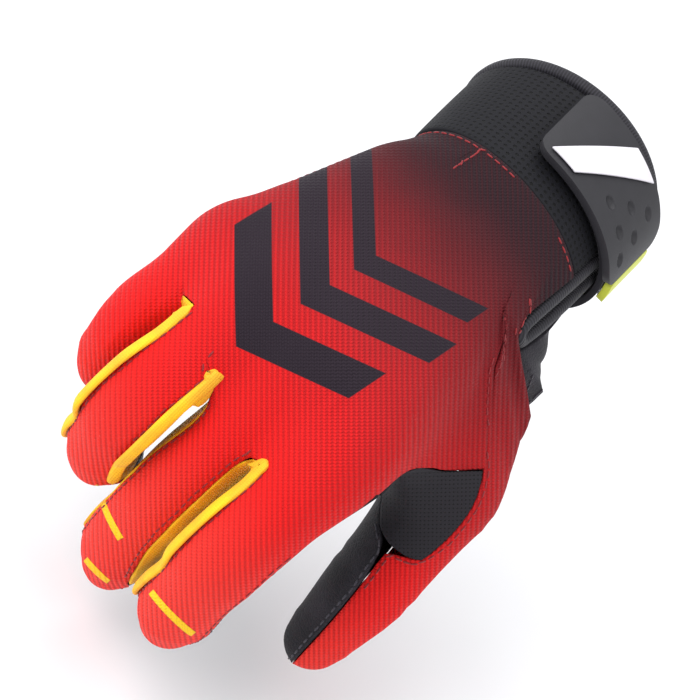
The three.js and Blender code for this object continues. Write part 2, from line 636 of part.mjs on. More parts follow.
// Side panel between digits d and d + 1: down one digit to the web and up the other. Its rows are pairs of
// digit and row, each crossed from the back edge to the palm edge.
function sidePanel(d, rows, apexes, slot = null, across = through) {
  const points = [];
  const owners = [];
  const quads = [];
  rows.forEach(([own, row, middle, least]) => {
    const edge = own === d ? -1 : 1;
    const ends = [1, -1].map((face) => edgePoint(own, row, edge, face));
    for (let column = 0; column <= SIDE_COLUMNS; column += 1) {
      const u = 1 - (2 * column) / SIDE_COLUMNS;
      if (Math.abs(u) < 1) {
        const guess = across(ends[0], snap(own, middle), ends[1], u);
        const lack = slot ? Math.max(least - pastWeb(slot, guess), 0) : 0;
        points.push(snap(own, lack > 0 ? add(guess, times(slot.ahead, lack)) : guess));
      } else points.push(u > 0 ? ends[0] : ends[1]);
      owners.push(own);
    }
  });
  const step = SIDE_COLUMNS + 1;
  for (const [end, apex] of [[0, apexes[0]], [(rows.length - 1) * step, apexes[1]]]) {
    for (let column = 0; column < step; column += 1) {
      points[end + column] = snap(owners[end], mix(apex, points[end + column], 0.6));
    }
  }
  for (let k = 0; k + 1 < rows.length; k += 1) {
    for (let column = 0; column < SIDE_COLUMNS; column += 1) {
      const a = k * step + column;
      quads.push([a, a + 1, a + step + 1, a + step]);
    }
  }
  return sheet(points, points.map((p, k) => unit(slope(owners[k], p))), quads, SIDE_THICKNESS);
}

// Cuff: an oval tube in share from hem to rim and angle from the thumb side over the back
function cuffPoint(share, angle) {
  const [a, b] = cuffHalves(share);
  const [x, z] = [a * Math.cos(radians(angle)), b * Math.sin(radians(angle))];
  return [x, (share - 1) * hemDrop(x, z), z];
}
function cuffNormal(share, angle) {
  const round = sub(cuffPoint(share, angle + 0.5), cuffPoint(share, angle - 0.5));
  const along = sub(cuffPoint(share + 0.005, angle), cuffPoint(share - 0.005, angle));
  return unit(cross(along, round));
}
const cuffAt = (share, angle, height) => add(cuffPoint(share, angle), times(cuffNormal(share, angle), height));
const degreesPer = (share, angle, length) => {
  return length / size(sub(cuffPoint(share, angle + 0.5), cuffPoint(share, angle - 0.5)));
};

// A closed block over a grid of u and v from 0 to 1, between two surfaces at height 0 and 1
function block(columns, rows, place) {
  const points = [];
  for (const level of [1, 0]) {
    for (let j = 0; j <= rows; j += 1) {
      for (let i = 0; i <= columns; i += 1) points.push(place(i / columns, j / rows, level));
    }
  }
  const at = (i, j, level) => (1 - level) * (columns + 1) * (rows + 1) + j * (columns + 1) + i;
  const indices = [];
  const quad = (a, b, c, d) => indices.push(a, b, c, a, c, d);
  for (let j = 0; j < rows; j += 1) {
    for (let i = 0; i < columns; i += 1) {
      quad(at(i, j, 1), at(i + 1, j, 1), at(i + 1, j + 1, 1), at(i, j + 1, 1));
      quad(at(i, j, 0), at(i, j + 1, 0), at(i + 1, j + 1, 0), at(i + 1, j, 0));
    }
  }
  for (let i = 0; i < columns; i += 1) {
    quad(at(i + 1, 0, 1), at(i, 0, 1), at(i, 0, 0), at(i + 1, 0, 0));
    quad(at(i, rows, 1), at(i + 1, rows, 1), at(i + 1, rows, 0), at(i, rows, 0));
  }
  for (let j = 0; j < rows; j += 1) {
    quad(at(0, j, 1), at(0, j + 1, 1), at(0, j + 1, 0), at(0, j, 0));
    quad(at(columns, j + 1, 1), at(columns, j, 1), at(columns, j, 0), at(columns, j + 1, 0));
  }
  return facingOut(points, indices);
}
// Reverses the faces of a closed mesh where its volume comes out negative
function facingOut(points, indices) {
  let volume = 0;
  for (let k = 0; k < indices.length; k += 3) {
    const [a, b, c] = [0, 1, 2].map((n) => points[indices[k + n]]);
    volume += dot(a, cross(b, c));
  }
  return solid(points, volume < 0 ? indices.slice().reverse() : indices);
}
// Reach of the corners of an eight-sided bar over its width
const ROUND_SHARE = 0.54;
// A rounded bar along a path: at each point a width along one way and a height along another
function rail(path, width, height) {
  const corners = [];
  for (let k = 0; k < 8; k += 1) {
    const angle = radians(22.5 + 45 * k);
    corners.push([Math.cos(angle) * width * ROUND_SHARE, Math.sin(angle) * height * ROUND_SHARE]);
  }
  const points = path.flatMap(({ at, wide, high }) => {
    return corners.map(([w, h]) => add(at, add(times(wide, w), times(high, h))));
  });
  const indices = [];
  for (let j = 0; j + 1 < path.length; j += 1) {
    for (let k = 0; k < 8; k += 1) {
      const [a, b] = [j * 8 + k, j * 8 + ((k + 1) % 8)];
      indices.push(a, b, b + 8, a, b + 8, a + 8);
    }
  }
  const last = (path.length - 1) * 8;
  for (let k = 1; k < 7; k += 1) {
    indices.push(0, k + 1, k);
    indices.push(last, last + k, last + k + 1);
  }
  return facingOut(points, indices);
}

const RIM_SHARE = 1 - (BINDING_WIDTH + SEAM_GAP) / (CUFF_LENGTH - Math.hypot(CUFF_WIDTH * Math.tan(radians(HEM_TURN)), CUFF_DEPTH * Math.tan(radians(HEM_TILT))) / 2);
const HEM_SHARE = SEAM_GAP / 2 / CUFF_LENGTH;
const slitDegrees = (share, reach = 0) => degreesPer(share, SLIT_ANGLE, SLIT_WIDTH / 2 + reach);

function cuffBand() {
  return block(44, 4, (u, v, level) => {
    const share = lerp(HEM_SHARE, RIM_SHARE, v);
    const half = slitDegrees(share, SEAM_GAP / 2);
    const angle = lerp(SLIT_ANGLE + half, SLIT_ANGLE + 360 - half, u);
    return cuffAt(share, angle, -CUFF_THICKNESS * (1 - level));
  });
}
// Rolled edge round the rim, and the rolled edge of the slit down one side, round its end and back
function cuffBinding() {
  const path = [];
  const half = slitDegrees(1, SEAM_GAP / 2);
  for (let k = 0; k <= 48; k += 1) {
    const angle = lerp(SLIT_ANGLE + half, SLIT_ANGLE + 360 - half, k / 48);
    const high = unit([cuffNormal(1, angle)[0], 0, cuffNormal(1, angle)[2]]);
    const at = add(cuffPoint(1, angle), times(high, -CUFF_THICKNESS / 2));
    path.push({ at: [at[0], -BINDING_WIDTH / 2, at[2]], wide: Y, high });
  }
  return rail(path, BINDING_WIDTH, BINDING_HEIGHT);
}
function slitBinding() {
  const path = [];
  const reach = (SLIT_WIDTH - SEAM_GAP - BINDING_WIDTH) / 2 - BINDING_EASE;
  const onCuff = (share, face) => {
    const angle = SLIT_ANGLE + face * degreesPer(share, SLIT_ANGLE, reach);
    const high = cuffNormal(share, angle);
    const across = sub(cuffPoint(share, angle + 0.5), cuffPoint(share, angle - 0.5));
    return { at: cuffAt(share, angle, -CUFF_THICKNESS / 2), wide: times(unit(across), face), high };
  };
  const rows = THUMB_ROWS.map((entry, row) => row).filter((row) => THUMB_ROWS[row].slit !== undefined);
  const edge = [...rows.slice(1).reverse().map((row) => [row, 1]), ...rows.map((row) => [row, -1])];
  const points = edge.map(([row, face]) => edgePoint(0, row, 1, face));
  for (let k = 0; k <= 4; k += 1) path.push(onCuff(lerp(1, 0.04, k / 4), 1));
  for (let k = 1; k + 1 < points.length; k += 1) {
    const high = unit(slope(0, points[k]));
    const sides = [[k - 1, k], [k, k + 1]].map(([a, b]) => unit(cross(sub(points[b], points[a]), high)));
    const wide = unit(add(...sides));
    const away = (SLIT_WIDTH / 2 - reach) / dot(wide, sides[0]);
    path.push({ at: sub(sub(points[k], times(wide, away)), times(high, CUFF_THICKNESS / 2)), wide, high });
  }
  for (let k = 0; k <= 4; k += 1) path.push(onCuff(lerp(0.04, 1, k / 4), -1));
  return rail(path, BINDING_WIDTH, BINDING_HEIGHT);
}

// Strap round the thumb side of the cuff: a length from the end on the back towards the palm, a distance from
// its middle line towards the rim and a height over the cuff
const STRAP_BASE = BINDING_HEIGHT * ROUND_SHARE - CUFF_THICKNESS / 2 + STRAP_CLEARANCE;
const BADGE_BASE = STRAP_BASE + STRAP_THICKNESS + SEAM_GAP;
const BADGE_TOP = BADGE_BASE + BADGE_THICKNESS;
function strapPoint(length, across, height) {
  let angle = BADGE_ANGLE;
  for (let k = 0; k < 32; k += 1) angle -= degreesPer(STRAP_PLACE, angle, length / 32);
  const [x, , z] = cuffPoint(STRAP_PLACE, angle);
  return cuffAt(STRAP_PLACE + across / hemDrop(x, z), angle, height);
}
// A flat piece on the strap with its corners rounded
function patch(start, length, width, base, thickness, corner, columns, rows) {
  return block(columns, rows, (u, v, level) => {
    const along = length * (u - (Math.sin(2 * Math.PI * u) * corner) / length / 4);
    const near = Math.max(corner - Math.min(along, length - along), 0);
    const half = width / 2 - corner + Math.sqrt(Math.max(corner * corner - near * near, 0));
    return strapPoint(start + along, (2 * v - 1) * half, base + level * thickness);
  });
}
function bar() {
  return block(3, 8, (u, v, level) => {
    const across = lerp(BAR_MARGIN, 1 - BAR_MARGIN, v);
    const [from, to] = [0, 1].map((k) => lerp(BAR_ENDS[0][k], BAR_ENDS[1][k], across));
    const height = BADGE_TOP + SEAM_GAP + level * BAR_THICKNESS;
    return strapPoint(lerp(from, to, u) * BADGE_LENGTH, (across - 0.5) * BADGE_WIDTH, height);
  });
}
function pullTab() {
  const start = BADGE_LENGTH + 2 * SEAM_GAP + TIP_LENGTH;
  return block(4, 2, (u, v, level) => {
    const height = BADGE_BASE + u * u * TAB_LIFT + level * TAB_THICKNESS;
    return strapPoint(start + u * TAB_LENGTH, TIP_WIDTH / 2 - TAB_WIDTH * v, height);
  });
}

const COLOURS = {
  red: 0xf03a35, black: 0x26242b, yellow: 0xffd23c, charcoal: 0x1c1c22, grey: 0x3c3a41, white: 0xe8e4eb, neon: 0xd6de46,
};
const glove = new THREE.Group();
glove.name = 'motocross_glove';
function addPiece(name, geometry, colour) {
  const mesh = new THREE.Mesh(geometry, new THREE.MeshStandardMaterial({ color: COLOURS[colour], roughness: 0.8 }));
  mesh.name = name;
  glove.add(mesh);
}

addPiece('back_panel', handPanel(1, BACK_THICKNESS), 'red');
addPiece('palm_panel', handPanel(-1, PALM_THICKNESS), 'black');
for (let d = 1; d < 4; d += 1) {
  const leg = (own) => {
    const rows = [5];
    for (let row = 5; row < WEB_ROW; row += 1) rows.push(row);
    const edge = own === d ? -90 : 90;
    return rows.map((row) => {
      const least = row < WEB_ROW - 2 ? 0 : CROTCH_STEP * (WEB_ROW - row);
      return [own, row, around(DIGITS[own], fingerStation(own, row), edge), least];
    });
  };
  const slot = SLOTS[d];
  const crotch = [d, WEB_ROW, add(slot.web, times(slot.ahead, CROTCH_STEP / 8)), -Infinity];
  const apexes = [edgePoint(d, 4, -1, 1), edgePoint(d + 1, 4, 1, 1)];
  const name = `fourchette_${FINGERS[d - 1].name}_${FINGERS[d].name}`;
  addPiece(name, sidePanel(d, [...leg(d), crotch, ...leg(d + 1).reverse()], apexes, slot), 'yellow');
}
{
  const start = edgePoint(1, WEB_ROW + GUSSET_START, 1, 1);
  const end = edgePoint(0, 6, -1, 1);
  const onWeb = SLOTS[0].web;
  const rows = [];
  for (let k = 1; k <= GUSSET_END - GUSSET_START; k += 1) {
    const row = [1, WEB_ROW + GUSSET_START + k, mix(start, onWeb, k / (GUSSET_END - GUSSET_START))];
    if (k === 1) rows.push(row);
    rows.push(row);
  }
  for (const row of [9, 8, 7, 7]) rows.push([0, row, mix(onWeb, end, (10 - row) / 4)]);
  addPiece('thumb_gusset', sidePanel(0, rows, [start, end], null, straight), 'charcoal');
}
addPiece('cuff_band', cuffBand(), 'charcoal');
addPiece('cuff_binding', cuffBinding(), 'charcoal');
addPiece('slit_binding', slitBinding(), 'charcoal');
const strapLength = BADGE_LENGTH + SEAM_GAP + TIP_LENGTH + STRAP_TAIL;
addPiece('strap', patch(0, strapLength, STRAP_WIDTH, STRAP_BASE, STRAP_THICKNESS, BADGE_CORNER, 28, 4), 'charcoal');
addPiece('strap_badge', patch(0, BADGE_LENGTH, BADGE_WIDTH, BADGE_BASE, BADGE_THICKNESS, BADGE_CORNER, 22, 6), 'grey');
addPiece('strap_bar', bar(), 'white');
const tipStart = BADGE_LENGTH + SEAM_GAP;
addPiece('strap_tip', patch(tipStart, TIP_LENGTH, TIP_WIDTH, BADGE_BASE, BADGE_THICKNESS, TIP_CORNER, 4, 6), 'neon');
addPiece('pull_tab', pullTab(), 'charcoal');

export default glove;
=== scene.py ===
import math

import bmesh
import bpy
import numpy as np
from mathutils import Matrix, Vector
from mathutils.bvhtree import BVHTree


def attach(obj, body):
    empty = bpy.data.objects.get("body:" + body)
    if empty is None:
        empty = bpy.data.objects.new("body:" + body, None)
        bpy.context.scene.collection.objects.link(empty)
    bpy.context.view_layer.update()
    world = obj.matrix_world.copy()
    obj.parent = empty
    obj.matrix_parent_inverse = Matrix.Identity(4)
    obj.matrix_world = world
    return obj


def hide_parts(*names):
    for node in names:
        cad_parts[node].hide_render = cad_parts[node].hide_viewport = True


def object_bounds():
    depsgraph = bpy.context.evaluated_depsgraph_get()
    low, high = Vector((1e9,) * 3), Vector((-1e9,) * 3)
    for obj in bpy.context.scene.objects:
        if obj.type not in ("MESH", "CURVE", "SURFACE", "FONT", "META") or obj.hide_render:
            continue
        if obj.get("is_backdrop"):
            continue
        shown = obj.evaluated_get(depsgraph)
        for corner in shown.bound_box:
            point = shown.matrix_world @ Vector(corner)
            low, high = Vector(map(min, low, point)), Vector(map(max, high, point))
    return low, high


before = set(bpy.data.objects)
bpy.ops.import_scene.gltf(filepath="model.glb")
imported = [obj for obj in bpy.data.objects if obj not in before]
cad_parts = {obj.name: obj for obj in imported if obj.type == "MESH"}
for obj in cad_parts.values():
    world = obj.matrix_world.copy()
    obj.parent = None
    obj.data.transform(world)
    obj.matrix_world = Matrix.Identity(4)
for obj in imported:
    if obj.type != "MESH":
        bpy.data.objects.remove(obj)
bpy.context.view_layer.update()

bl_info = {
    "name": "Motocross glove",
    "version": (1, 0, 0),
    "blender": (4, 5, 0),
    "location": "3D View > Sidebar > Glove",
    "description": "Knit, leather and rubber of a right-hand motocross glove over its CAD frame",
    "category": "Object",
}

MM = 0.001
X, Y, Z = np.eye(3)

# Sizes of the frame in mm and degrees, as the CAD source gives them
CUFF_LENGTH, CUFF_WIDTH, CUFF_DEPTH, CUFF_THICKNESS = 46.0, 64.0, 50.0, 2.4
WRIST_WIDTH, WRIST_DEPTH, WRIST_INSET, WRIST_FLEX, WRIST_TURN = 62.0, 41.0, 8.0, 10.0, 6.0
HEM_TILT, HEM_TURN, SEAM_GAP = 12.0, 8.0, 0.34
PALM_LENGTH, KNUCKLE_PITCH, PALM_DEPTH, FINGER_LENGTH, THUMB_LENGTH = 90.0, 19.0, 29.0, 100.0, 103.0
SLIT_WIDTH, SLIT_ANGLE = 13.0, 14.0
BINDING_WIDTH, BINDING_HEIGHT, ROUND_SHARE = 4.0, 3.4, 0.54
STRAP_WIDTH, STRAP_THICKNESS, STRAP_CLEARANCE, STRAP_TAIL, STRAP_PLACE = 27.0, 2.0, 0.35, 36.0, 0.5
BADGE_ANGLE, BADGE_LENGTH, BADGE_WIDTH, BADGE_THICKNESS, BADGE_CORNER = 98.0, 42.0, 33.0, 2.2, 5.0
BAR_ENDS, BAR_MARGIN, BAR_THICKNESS = ((0.05, 0.24), (0.45, 0.67)), 0.07, 0.7
TIP_LENGTH, TIP_WIDTH, TIP_CORNER = 6.0, 25.0, 2.0
TAB_LENGTH, TAB_WIDTH, TAB_THICKNESS, TAB_LIFT = 9.0, 6.0, 1.8, 4.0
STRAP_BASE = BINDING_HEIGHT * ROUND_SHARE - CUFF_THICKNESS / 2 + STRAP_CLEARANCE
BADGE_BASE = STRAP_BASE + STRAP_THICKNESS + SEAM_GAP
BADGE_TOP = BADGE_BASE + BADGE_THICKNESS

# Bones of the digits: knuckle across, along and up in shares of the palm, length share, shares of the
# segments, spread and bends; the thumb by the azimuth and drop of each segment
FINGER_BONES = (
    (1.27, 1.05, 0.045, 0.2, 0.865, (0.495, 0.292, 0.213), -1.0, (40, 44, 26)),
    (0.15, 0.995, 0.18, 0.05, 1.0, (0.495, 0.303, 0.202), -5.0, (50, 38, 19)),
    (-0.92, 0.975, 0.12, -0.1, 0.865, (0.49, 0.304, 0.206), -3.5, (30, 68, 30)),
    (-1.76, 0.87, -0.06, -0.24, 0.655, (0.48, 0.293, 0.227), -7.0, (33, 57, 40)),
)
FINGER_RUNS = (3, 4, 7, 8, 11, 12, 15, 16, 18, 19)
THUMB_ROOT, THUMB_SHARES = (0.78, 0.188, -0.55), (0.436, 0.317, 0.247)
THUMB_WAYS, THUMB_DROPS = (32, 13, 3), (23, 46, 62)

# The photograph's viewing angle, in the frame of the hand before the wrist's flex
VIEW_AZIMUTH, VIEW_ELEVATION, VIEW_ROLL, VIEW_DISTANCE = 9.2, 49.91, 40.68, 785.0
VIEW_TARGET, VIEW_SHIFT, VIEW_LENS = (0.0, -112.0, -20.0), (12.11, 6.24), 154.3
# Half the photograph's frame and the lens's focal length, both in its pixels
FRAME_HALF, FOCUS_PIXELS = 350, 3000

# How a CAD node's triangles are joined again, and which of its edges are seams: mm and degrees
MERGE_GAP, FLAT_JOIN, SHAPE_JOIN = 0.003, 35, 60
CREASE_ANGLE, CREASE_WEIGHT, SEAM_ANGLE, BEVEL_ANGLE = 55, 0.55, 50, 40
# How the cuff widens to its rim, and the steps in which the strap's place is followed round it
CUFF_FLARE, STRAP_STEPS = 1.3, 32
# Folds: reach of the creases from a joint, distance between them, and where the slack begins, mm
JOINT_REACH, CREASE_PITCH, SLACK_START, SLACK_FADE = 6.0, 1.1, 60, 20
# Stage: gap under the glove, half the floor, and distance of the lamps, m
FLOOR_GAP, FLOOR_HALF, LAMP_DISTANCE = 0.012, 3, 0.75


# Vectors

def turned(v, axis, degrees):
    """Rodrigues turn: v cos + (axis x v) sin + axis (axis . v)(1 - cos)."""
    v, c, s = np.asarray(v, float), math.cos(math.radians(degrees)), math.sin(math.radians(degrees))
    return v * c + np.cross(axis, v) * s + np.asarray(axis) * np.dot(v, axis) * (1 - c)


def unit(v):
    """Each vector over its own length."""
    return v / np.maximum(np.linalg.norm(v, axis=-1, keepdims=True), 1e-12)


def from_hand(v):
    """A way in the hand's own frame, turned by the wrist's turn and then its flex."""
    return turned(turned(v, Z, -WRIST_TURN), X, WRIST_FLEX)


WRIST = np.array([0.0, WRIST_INSET - CUFF_LENGTH, 0.0])


def view_axes():
    """Right, up and back of the photograph's view in the part's frame."""
    a, e, r = np.radians([VIEW_AZIMUTH, VIEW_ELEVATION, VIEW_ROLL])
    back = np.array([math.sin(a) * math.cos(e), -math.cos(a) * math.cos(e), math.sin(e)])
    right = np.array([math.cos(a), math.sin(a), 0.0])
    up = np.cross(back, right)
    right, up = math.cos(r) * right + math.sin(r) * up, -math.sin(r) * right + math.cos(r) * up
    return from_hand(right), from_hand(up), from_hand(back)


RIGHT, UP, BACK = view_axes()
TARGET = WRIST + from_hand(np.array(VIEW_TARGET) - WRIST)


def bones():
    """Start and end of every bone of the digits and of the cuff's middle line, as two arrays."""
    runs = [(np.array([0.0, -60.0, 0.0]), np.zeros(3))]
    for across, along, up, wrist, length, shares, spread, bends in FINGER_BONES:
        side, ahead = from_hand(turned(X, Z, spread)), from_hand(turned(-Y, Z, spread))
        at = WRIST + from_hand([across * KNUCKLE_PITCH, -along * PALM_LENGTH, up * PALM_DEPTH])
        runs.append((WRIST + np.array([wrist * WRIST_WIDTH, 0, 0]), at))
        bend = 0
        for share, more in zip(shares, bends):
            bend += more
            end = at + turned(ahead, side, bend) * share * length * FINGER_LENGTH
            runs.append((at, end))
            at = end
    root = [THUMB_ROOT[0] * WRIST_WIDTH / 2, -THUMB_ROOT[1] * PALM_LENGTH, THUMB_ROOT[2] * PALM_DEPTH]
    at = WRIST + from_hand(root)
    for way, drop, share in zip(THUMB_WAYS, THUMB_DROPS, THUMB_SHARES):
        level = turned(-Y, Z, way)
        ahead = level * math.cos(math.radians(drop)) - Z * math.sin(math.radians(drop))
        end = at + from_hand(ahead) * share * THUMB_LENGTH
        runs.append((at, end))
        at = end
    starts, ends = (np.array(side) for side in zip(*runs))
    return starts, ends


def from_bones(points):
    """Way from the nearest bone to each point, the bone's number, and the share along it."""
    starts, ends = bones()
    runs = ends - starts
    gap = points[:, None] - starts[None]
    share = np.clip((gap * runs).sum(-1) / (runs * runs).sum(-1), 0, 1)
    away = gap - share[..., None] * runs
    nearest = np.linalg.norm(away, axis=-1).argmin(1)
    pick = np.arange(len(points))
    return away[pick, nearest], nearest, share[pick, nearest]


# Surfaces of the cuff

def cuff_point(share, angle):
    """Oval tube: x and z run round half axes that widen from hem to rim with share to the power 1.3, and y
    falls from 0 at the rim to the tilted hem."""
    flare = np.clip(share, 0, 1) ** CUFF_FLARE
    turn = np.radians(angle)
    x = (WRIST_WIDTH + (CUFF_WIDTH - WRIST_WIDTH) * flare) / 2 * np.cos(turn)
    z = (WRIST_DEPTH + (CUFF_DEPTH - WRIST_DEPTH) * flare) / 2 * np.sin(turn)
    return np.stack([x, (share - 1) * hem_drop(x, z), z], -1)


def hem_drop(x, z):
    """Length of the cuff at x and z: its middle length plus the hem's two slopes."""
    return CUFF_LENGTH + x * math.tan(math.radians(HEM_TURN)) + z * math.tan(math.radians(HEM_TILT))


def cuff_normal(share, angle):
    """Cross product of the way along the tube and the way round it."""
    round_way = cuff_point(share, angle + 0.5) - cuff_point(share, angle - 0.5)
    along = cuff_point(share + 0.005, angle) - cuff_point(share - 0.005, angle)
    return unit(np.cross(along, round_way))


def cuff_at(share, angle, height):
    """Point of the tube raised along its normal by a height."""
    return cuff_point(share, angle) + cuff_normal(share, angle) * np.asarray(height)[..., None]


def degrees_per(share, angle, length):
    """Angle that a length round the tube covers there."""
    return length / np.linalg.norm(cuff_point(share, angle + 0.5) - cuff_point(share, angle - 0.5), axis=-1)


def strap_point(length, across, height):
    """Point on the strap: the angle steps round the tube by the length in 32 steps, the share moves by the
    distance across, and the point rises along the normal."""
    length, across, height = np.broadcast_arrays(*(np.asarray(q, float) for q in (length, across, height)))
    place, angle = np.full(length.shape, STRAP_PLACE), np.full(length.shape, BADGE_ANGLE)
    for _ in range(STRAP_STEPS):
        angle = angle - degrees_per(place, angle, length / STRAP_STEPS)
    middle = cuff_point(place, angle)
    return cuff_at(place + across / hem_drop(middle[..., 0], middle[..., 2]), angle, height)


# Meshes

def volume_of(points, faces):
    """Sum of the signed wedges under every face, split as a fan."""
    total = 0.0
    for k in range(2, faces.shape[1]):
        a, b, c = points[faces[:, 0]], points[faces[:, k - 1]], points[faces[:, k]]
        total += np.einsum("ij,ij->", a, np.cross(b, c))
    return total / 6


def piece_from(name, points, faces, flat=None, caps=()):
    """A mesh object at the origin from points in mm, quads and end caps, with its pattern coordinates."""
    if volume_of(points, faces) < 0:
        faces, caps = faces[:, ::-1], [cap[::-1] for cap in caps]
    mesh = bpy.data.meshes.new(name)
    mesh.from_pydata((points * MM).tolist(), [], faces.tolist() + [list(cap) for cap in caps])
    mesh.update()
    if flat is not None:
        layer = mesh.attributes.new("flat", "FLOAT_VECTOR", "POINT")
        layer.data.foreach_set("vector", np.ascontiguousarray(flat, np.float32).ravel())
    mesh.polygons.foreach_set("use_smooth", [True] * len(mesh.polygons))
    piece = bpy.data.objects.new(name, mesh)
    bpy.context.scene.collection.objects.link(piece)
    return piece


def slab(name, place, columns, rows, length, width):
    """Closed block over a grid of u and v from 0 to 1: its top at level 1, its bottom at level 0 and a wall
    between their borders."""
    u, v = np.meshgrid(np.linspace(0, 1, columns + 1), np.linspace(0, 1, rows + 1))
    top, under = place(u, v, np.ones_like(u)).reshape(-1, 3), place(u, v, np.zeros_like(u)).reshape(-1, 3)
    count = len(top)
    index = np.arange(count).reshape(rows + 1, columns + 1)
    sheet = np.stack([index[:-1, :-1], index[:-1, 1:], index[1:, 1:], index[1:, :-1]], -1).reshape(-1, 4)
    ring = np.concatenate([index[0, :-1], index[:-1, -1], index[-1, :0:-1], index[:0:-1, 0]])
    ahead = np.roll(ring, -1)
    walls = np.stack([ahead, ring, ring + count, ahead + count], -1)
    faces = np.concatenate([sheet, sheet[:, ::-1] + count, walls])
    flat = np.stack([u * length, v * width, np.zeros_like(u)], -1).reshape(-1, 3)
    return piece_from(name, np.concatenate([top, under]), faces, np.concatenate([flat, flat]))


def rail(name, at, wide, high, width, height, sides=20):
    """Superellipse of a width and a height carried along a path of points, with the ends capped."""
    turn = np.arange(sides) / sides * 2 * math.pi
    across = np.sign(np.cos(turn)) * np.abs(np.cos(turn)) ** 0.8 * width / 2
    up = np.sign(np.sin(turn)) * np.abs(np.sin(turn)) ** 0.8 * height / 2
    points = at[:, None] + wide[:, None] * across[None, :, None] + high[:, None] * up[None, :, None]
    rows = len(at)
    index = np.arange(rows * sides).reshape(rows, sides)
    after = np.roll(index, -1, 1)
    faces = np.stack([index[:-1], after[:-1], after[1:], index[1:]], -1).reshape(-1, 4)
    along = np.concatenate([[0], np.cumsum(np.linalg.norm(np.diff(at, axis=0), axis=1))])
    flat = np.zeros((rows, sides, 3))
    flat[..., 0], flat[..., 1] = along[:, None], turn[None] * width / 2
    caps = [list(index[0][::-1]), list(index[-1])]
    return piece_from(name, points.reshape(-1, 3), faces, flat.reshape(-1, 3), caps=caps)


def smooth_path(points, count):
    """Catmull-Rom curve through the points, sampled evenly in its own parameter."""
    ends = np.concatenate([[2 * points[0] - points[1]], points, [2 * points[-1] - points[-2]]])
    t = np.linspace(0, len(points) - 1, count)
    k = np.minimum(t.astype(int), len(points) - 2)
    f = (t - k)[:, None]
    a, b, c, d = ends[k], ends[k + 1], ends[k + 2], ends[k + 3]
    square, cube = 2 * a - 5 * b + 4 * c - d, 3 * b - a - 3 * c + d
    return 0.5 * (2 * b + (c - a) * f + square * f ** 2 + cube * f ** 3)


def bevelled(piece, width, segments=3):
    """Rounds the edges of a piece."""
    bevel = piece.modifiers.new("Rounded edge", "BEVEL")
    bevel.width, bevel.segments, bevel.limit_method = width * MM, segments, "ANGLE"
    bevel.angle_limit = math.radians(BEVEL_ANGLE)
    return piece


def merged(node):
    """A copy of a CAD node with its loose triangles joined to quads where they were quads."""
    work = bmesh.new()
    work.from_mesh(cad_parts[node].data)
    bmesh.ops.remove_doubles(work, verts=work.verts, dist=MERGE_GAP * MM)
    bmesh.ops.join_triangles(
        work, faces=work.faces, angle_face_threshold=math.radians(FLAT_JOIN),
        angle_shape_threshold=math.radians(SHAPE_JOIN))
    return work


def sewn_panel(node, name, levels, wrinkle=0.0):
    """The panel's CAD form, subdivided to a smooth skin, its seam edges kept by a crease, with its folds
    pressed in as whole arrays."""
    work = merged(node)
    crease = work.edges.layers.float.new("crease_edge")
    for edge in work.edges:
        if len(edge.link_faces) == 2 and edge.calc_face_angle() > math.radians(CREASE_ANGLE):
            edge[crease] = CREASE_WEIGHT
    mesh = bpy.data.meshes.new(name)
    work.to_mesh(mesh)
    work.free()
    rough = bpy.data.objects.new(name + "_rough", mesh)
    bpy.context.scene.collection.objects.link(rough)
    fine = rough.modifiers.new("Skin", "SUBSURF")
    fine.levels = fine.render_levels = levels
    bpy.context.view_layer.update()
    skin = bpy.data.meshes.new_from_object(rough.evaluated_get(bpy.context.evaluated_depsgraph_get()))
    bpy.data.objects.remove(rough)
    skin.name = name
    count = len(skin.vertices)
    points, normals = np.empty(count * 3, np.float32), np.empty(count * 3, np.float32)
    skin.vertices.foreach_get("co", points)
    skin.vertex_normals.foreach_get("vector", normals)
    points, normals = points.reshape(-1, 3).astype(float), normals.reshape(-1, 3).astype(float)
    if wrinkle:
        points -= folds(points / MM, wrinkle)[:, None] * outward(points / MM, normals) * MM
    skin.vertices.foreach_set("co", points.astype(np.float32).ravel())
    skin.polygons.foreach_set("use_smooth", [True] * len(skin.polygons))
    skin.update()
    piece = bpy.data.objects.new(name, skin)
    bpy.context.scene.collection.objects.link(piece)
    return piece


def outward(points, normals):
    """The unit way from the nearest bone to each point, so both layers move together; the normals it is given
    are not used.
    """
    away, _, _ = from_bones(points)
    return unit(away)


def folds(points, depth):
    """Depth of the folds: soft creases across a finger where its joints bend, and slack waves on the palm
    and wrist, as sums of sines that drift with the place."""
    _, bone, share = from_bones(points)
    starts, ends = bones()
    length = np.linalg.norm(ends - starts, axis=1)[bone]
    away = np.minimum(share, 1 - share) * length
    near_joint = np.exp(-(away / JOINT_REACH) ** 2) * np.isin(bone, FINGER_RUNS)
    x, y, z = points.T
    drift = np.sin(x * 0.11 + z * 0.07) + np.sin(y * 0.09 - z * 0.13)
    across = np.cos(away / CREASE_PITCH + 0.4 * drift)
    slack = np.sin(y * 0.33 + x * 0.12 + 1.4 * np.sin(z * 0.12)) * np.sin(x * 0.16 - z * 0.1)
    fade = np.clip((-y - SLACK_START) / SLACK_FADE, 0, 1)
    return depth * fade * (0.4 * near_joint * (0.5 + 0.5 * across) + 0.4 * (0.5 + 0.5 * slack))


# Stitches

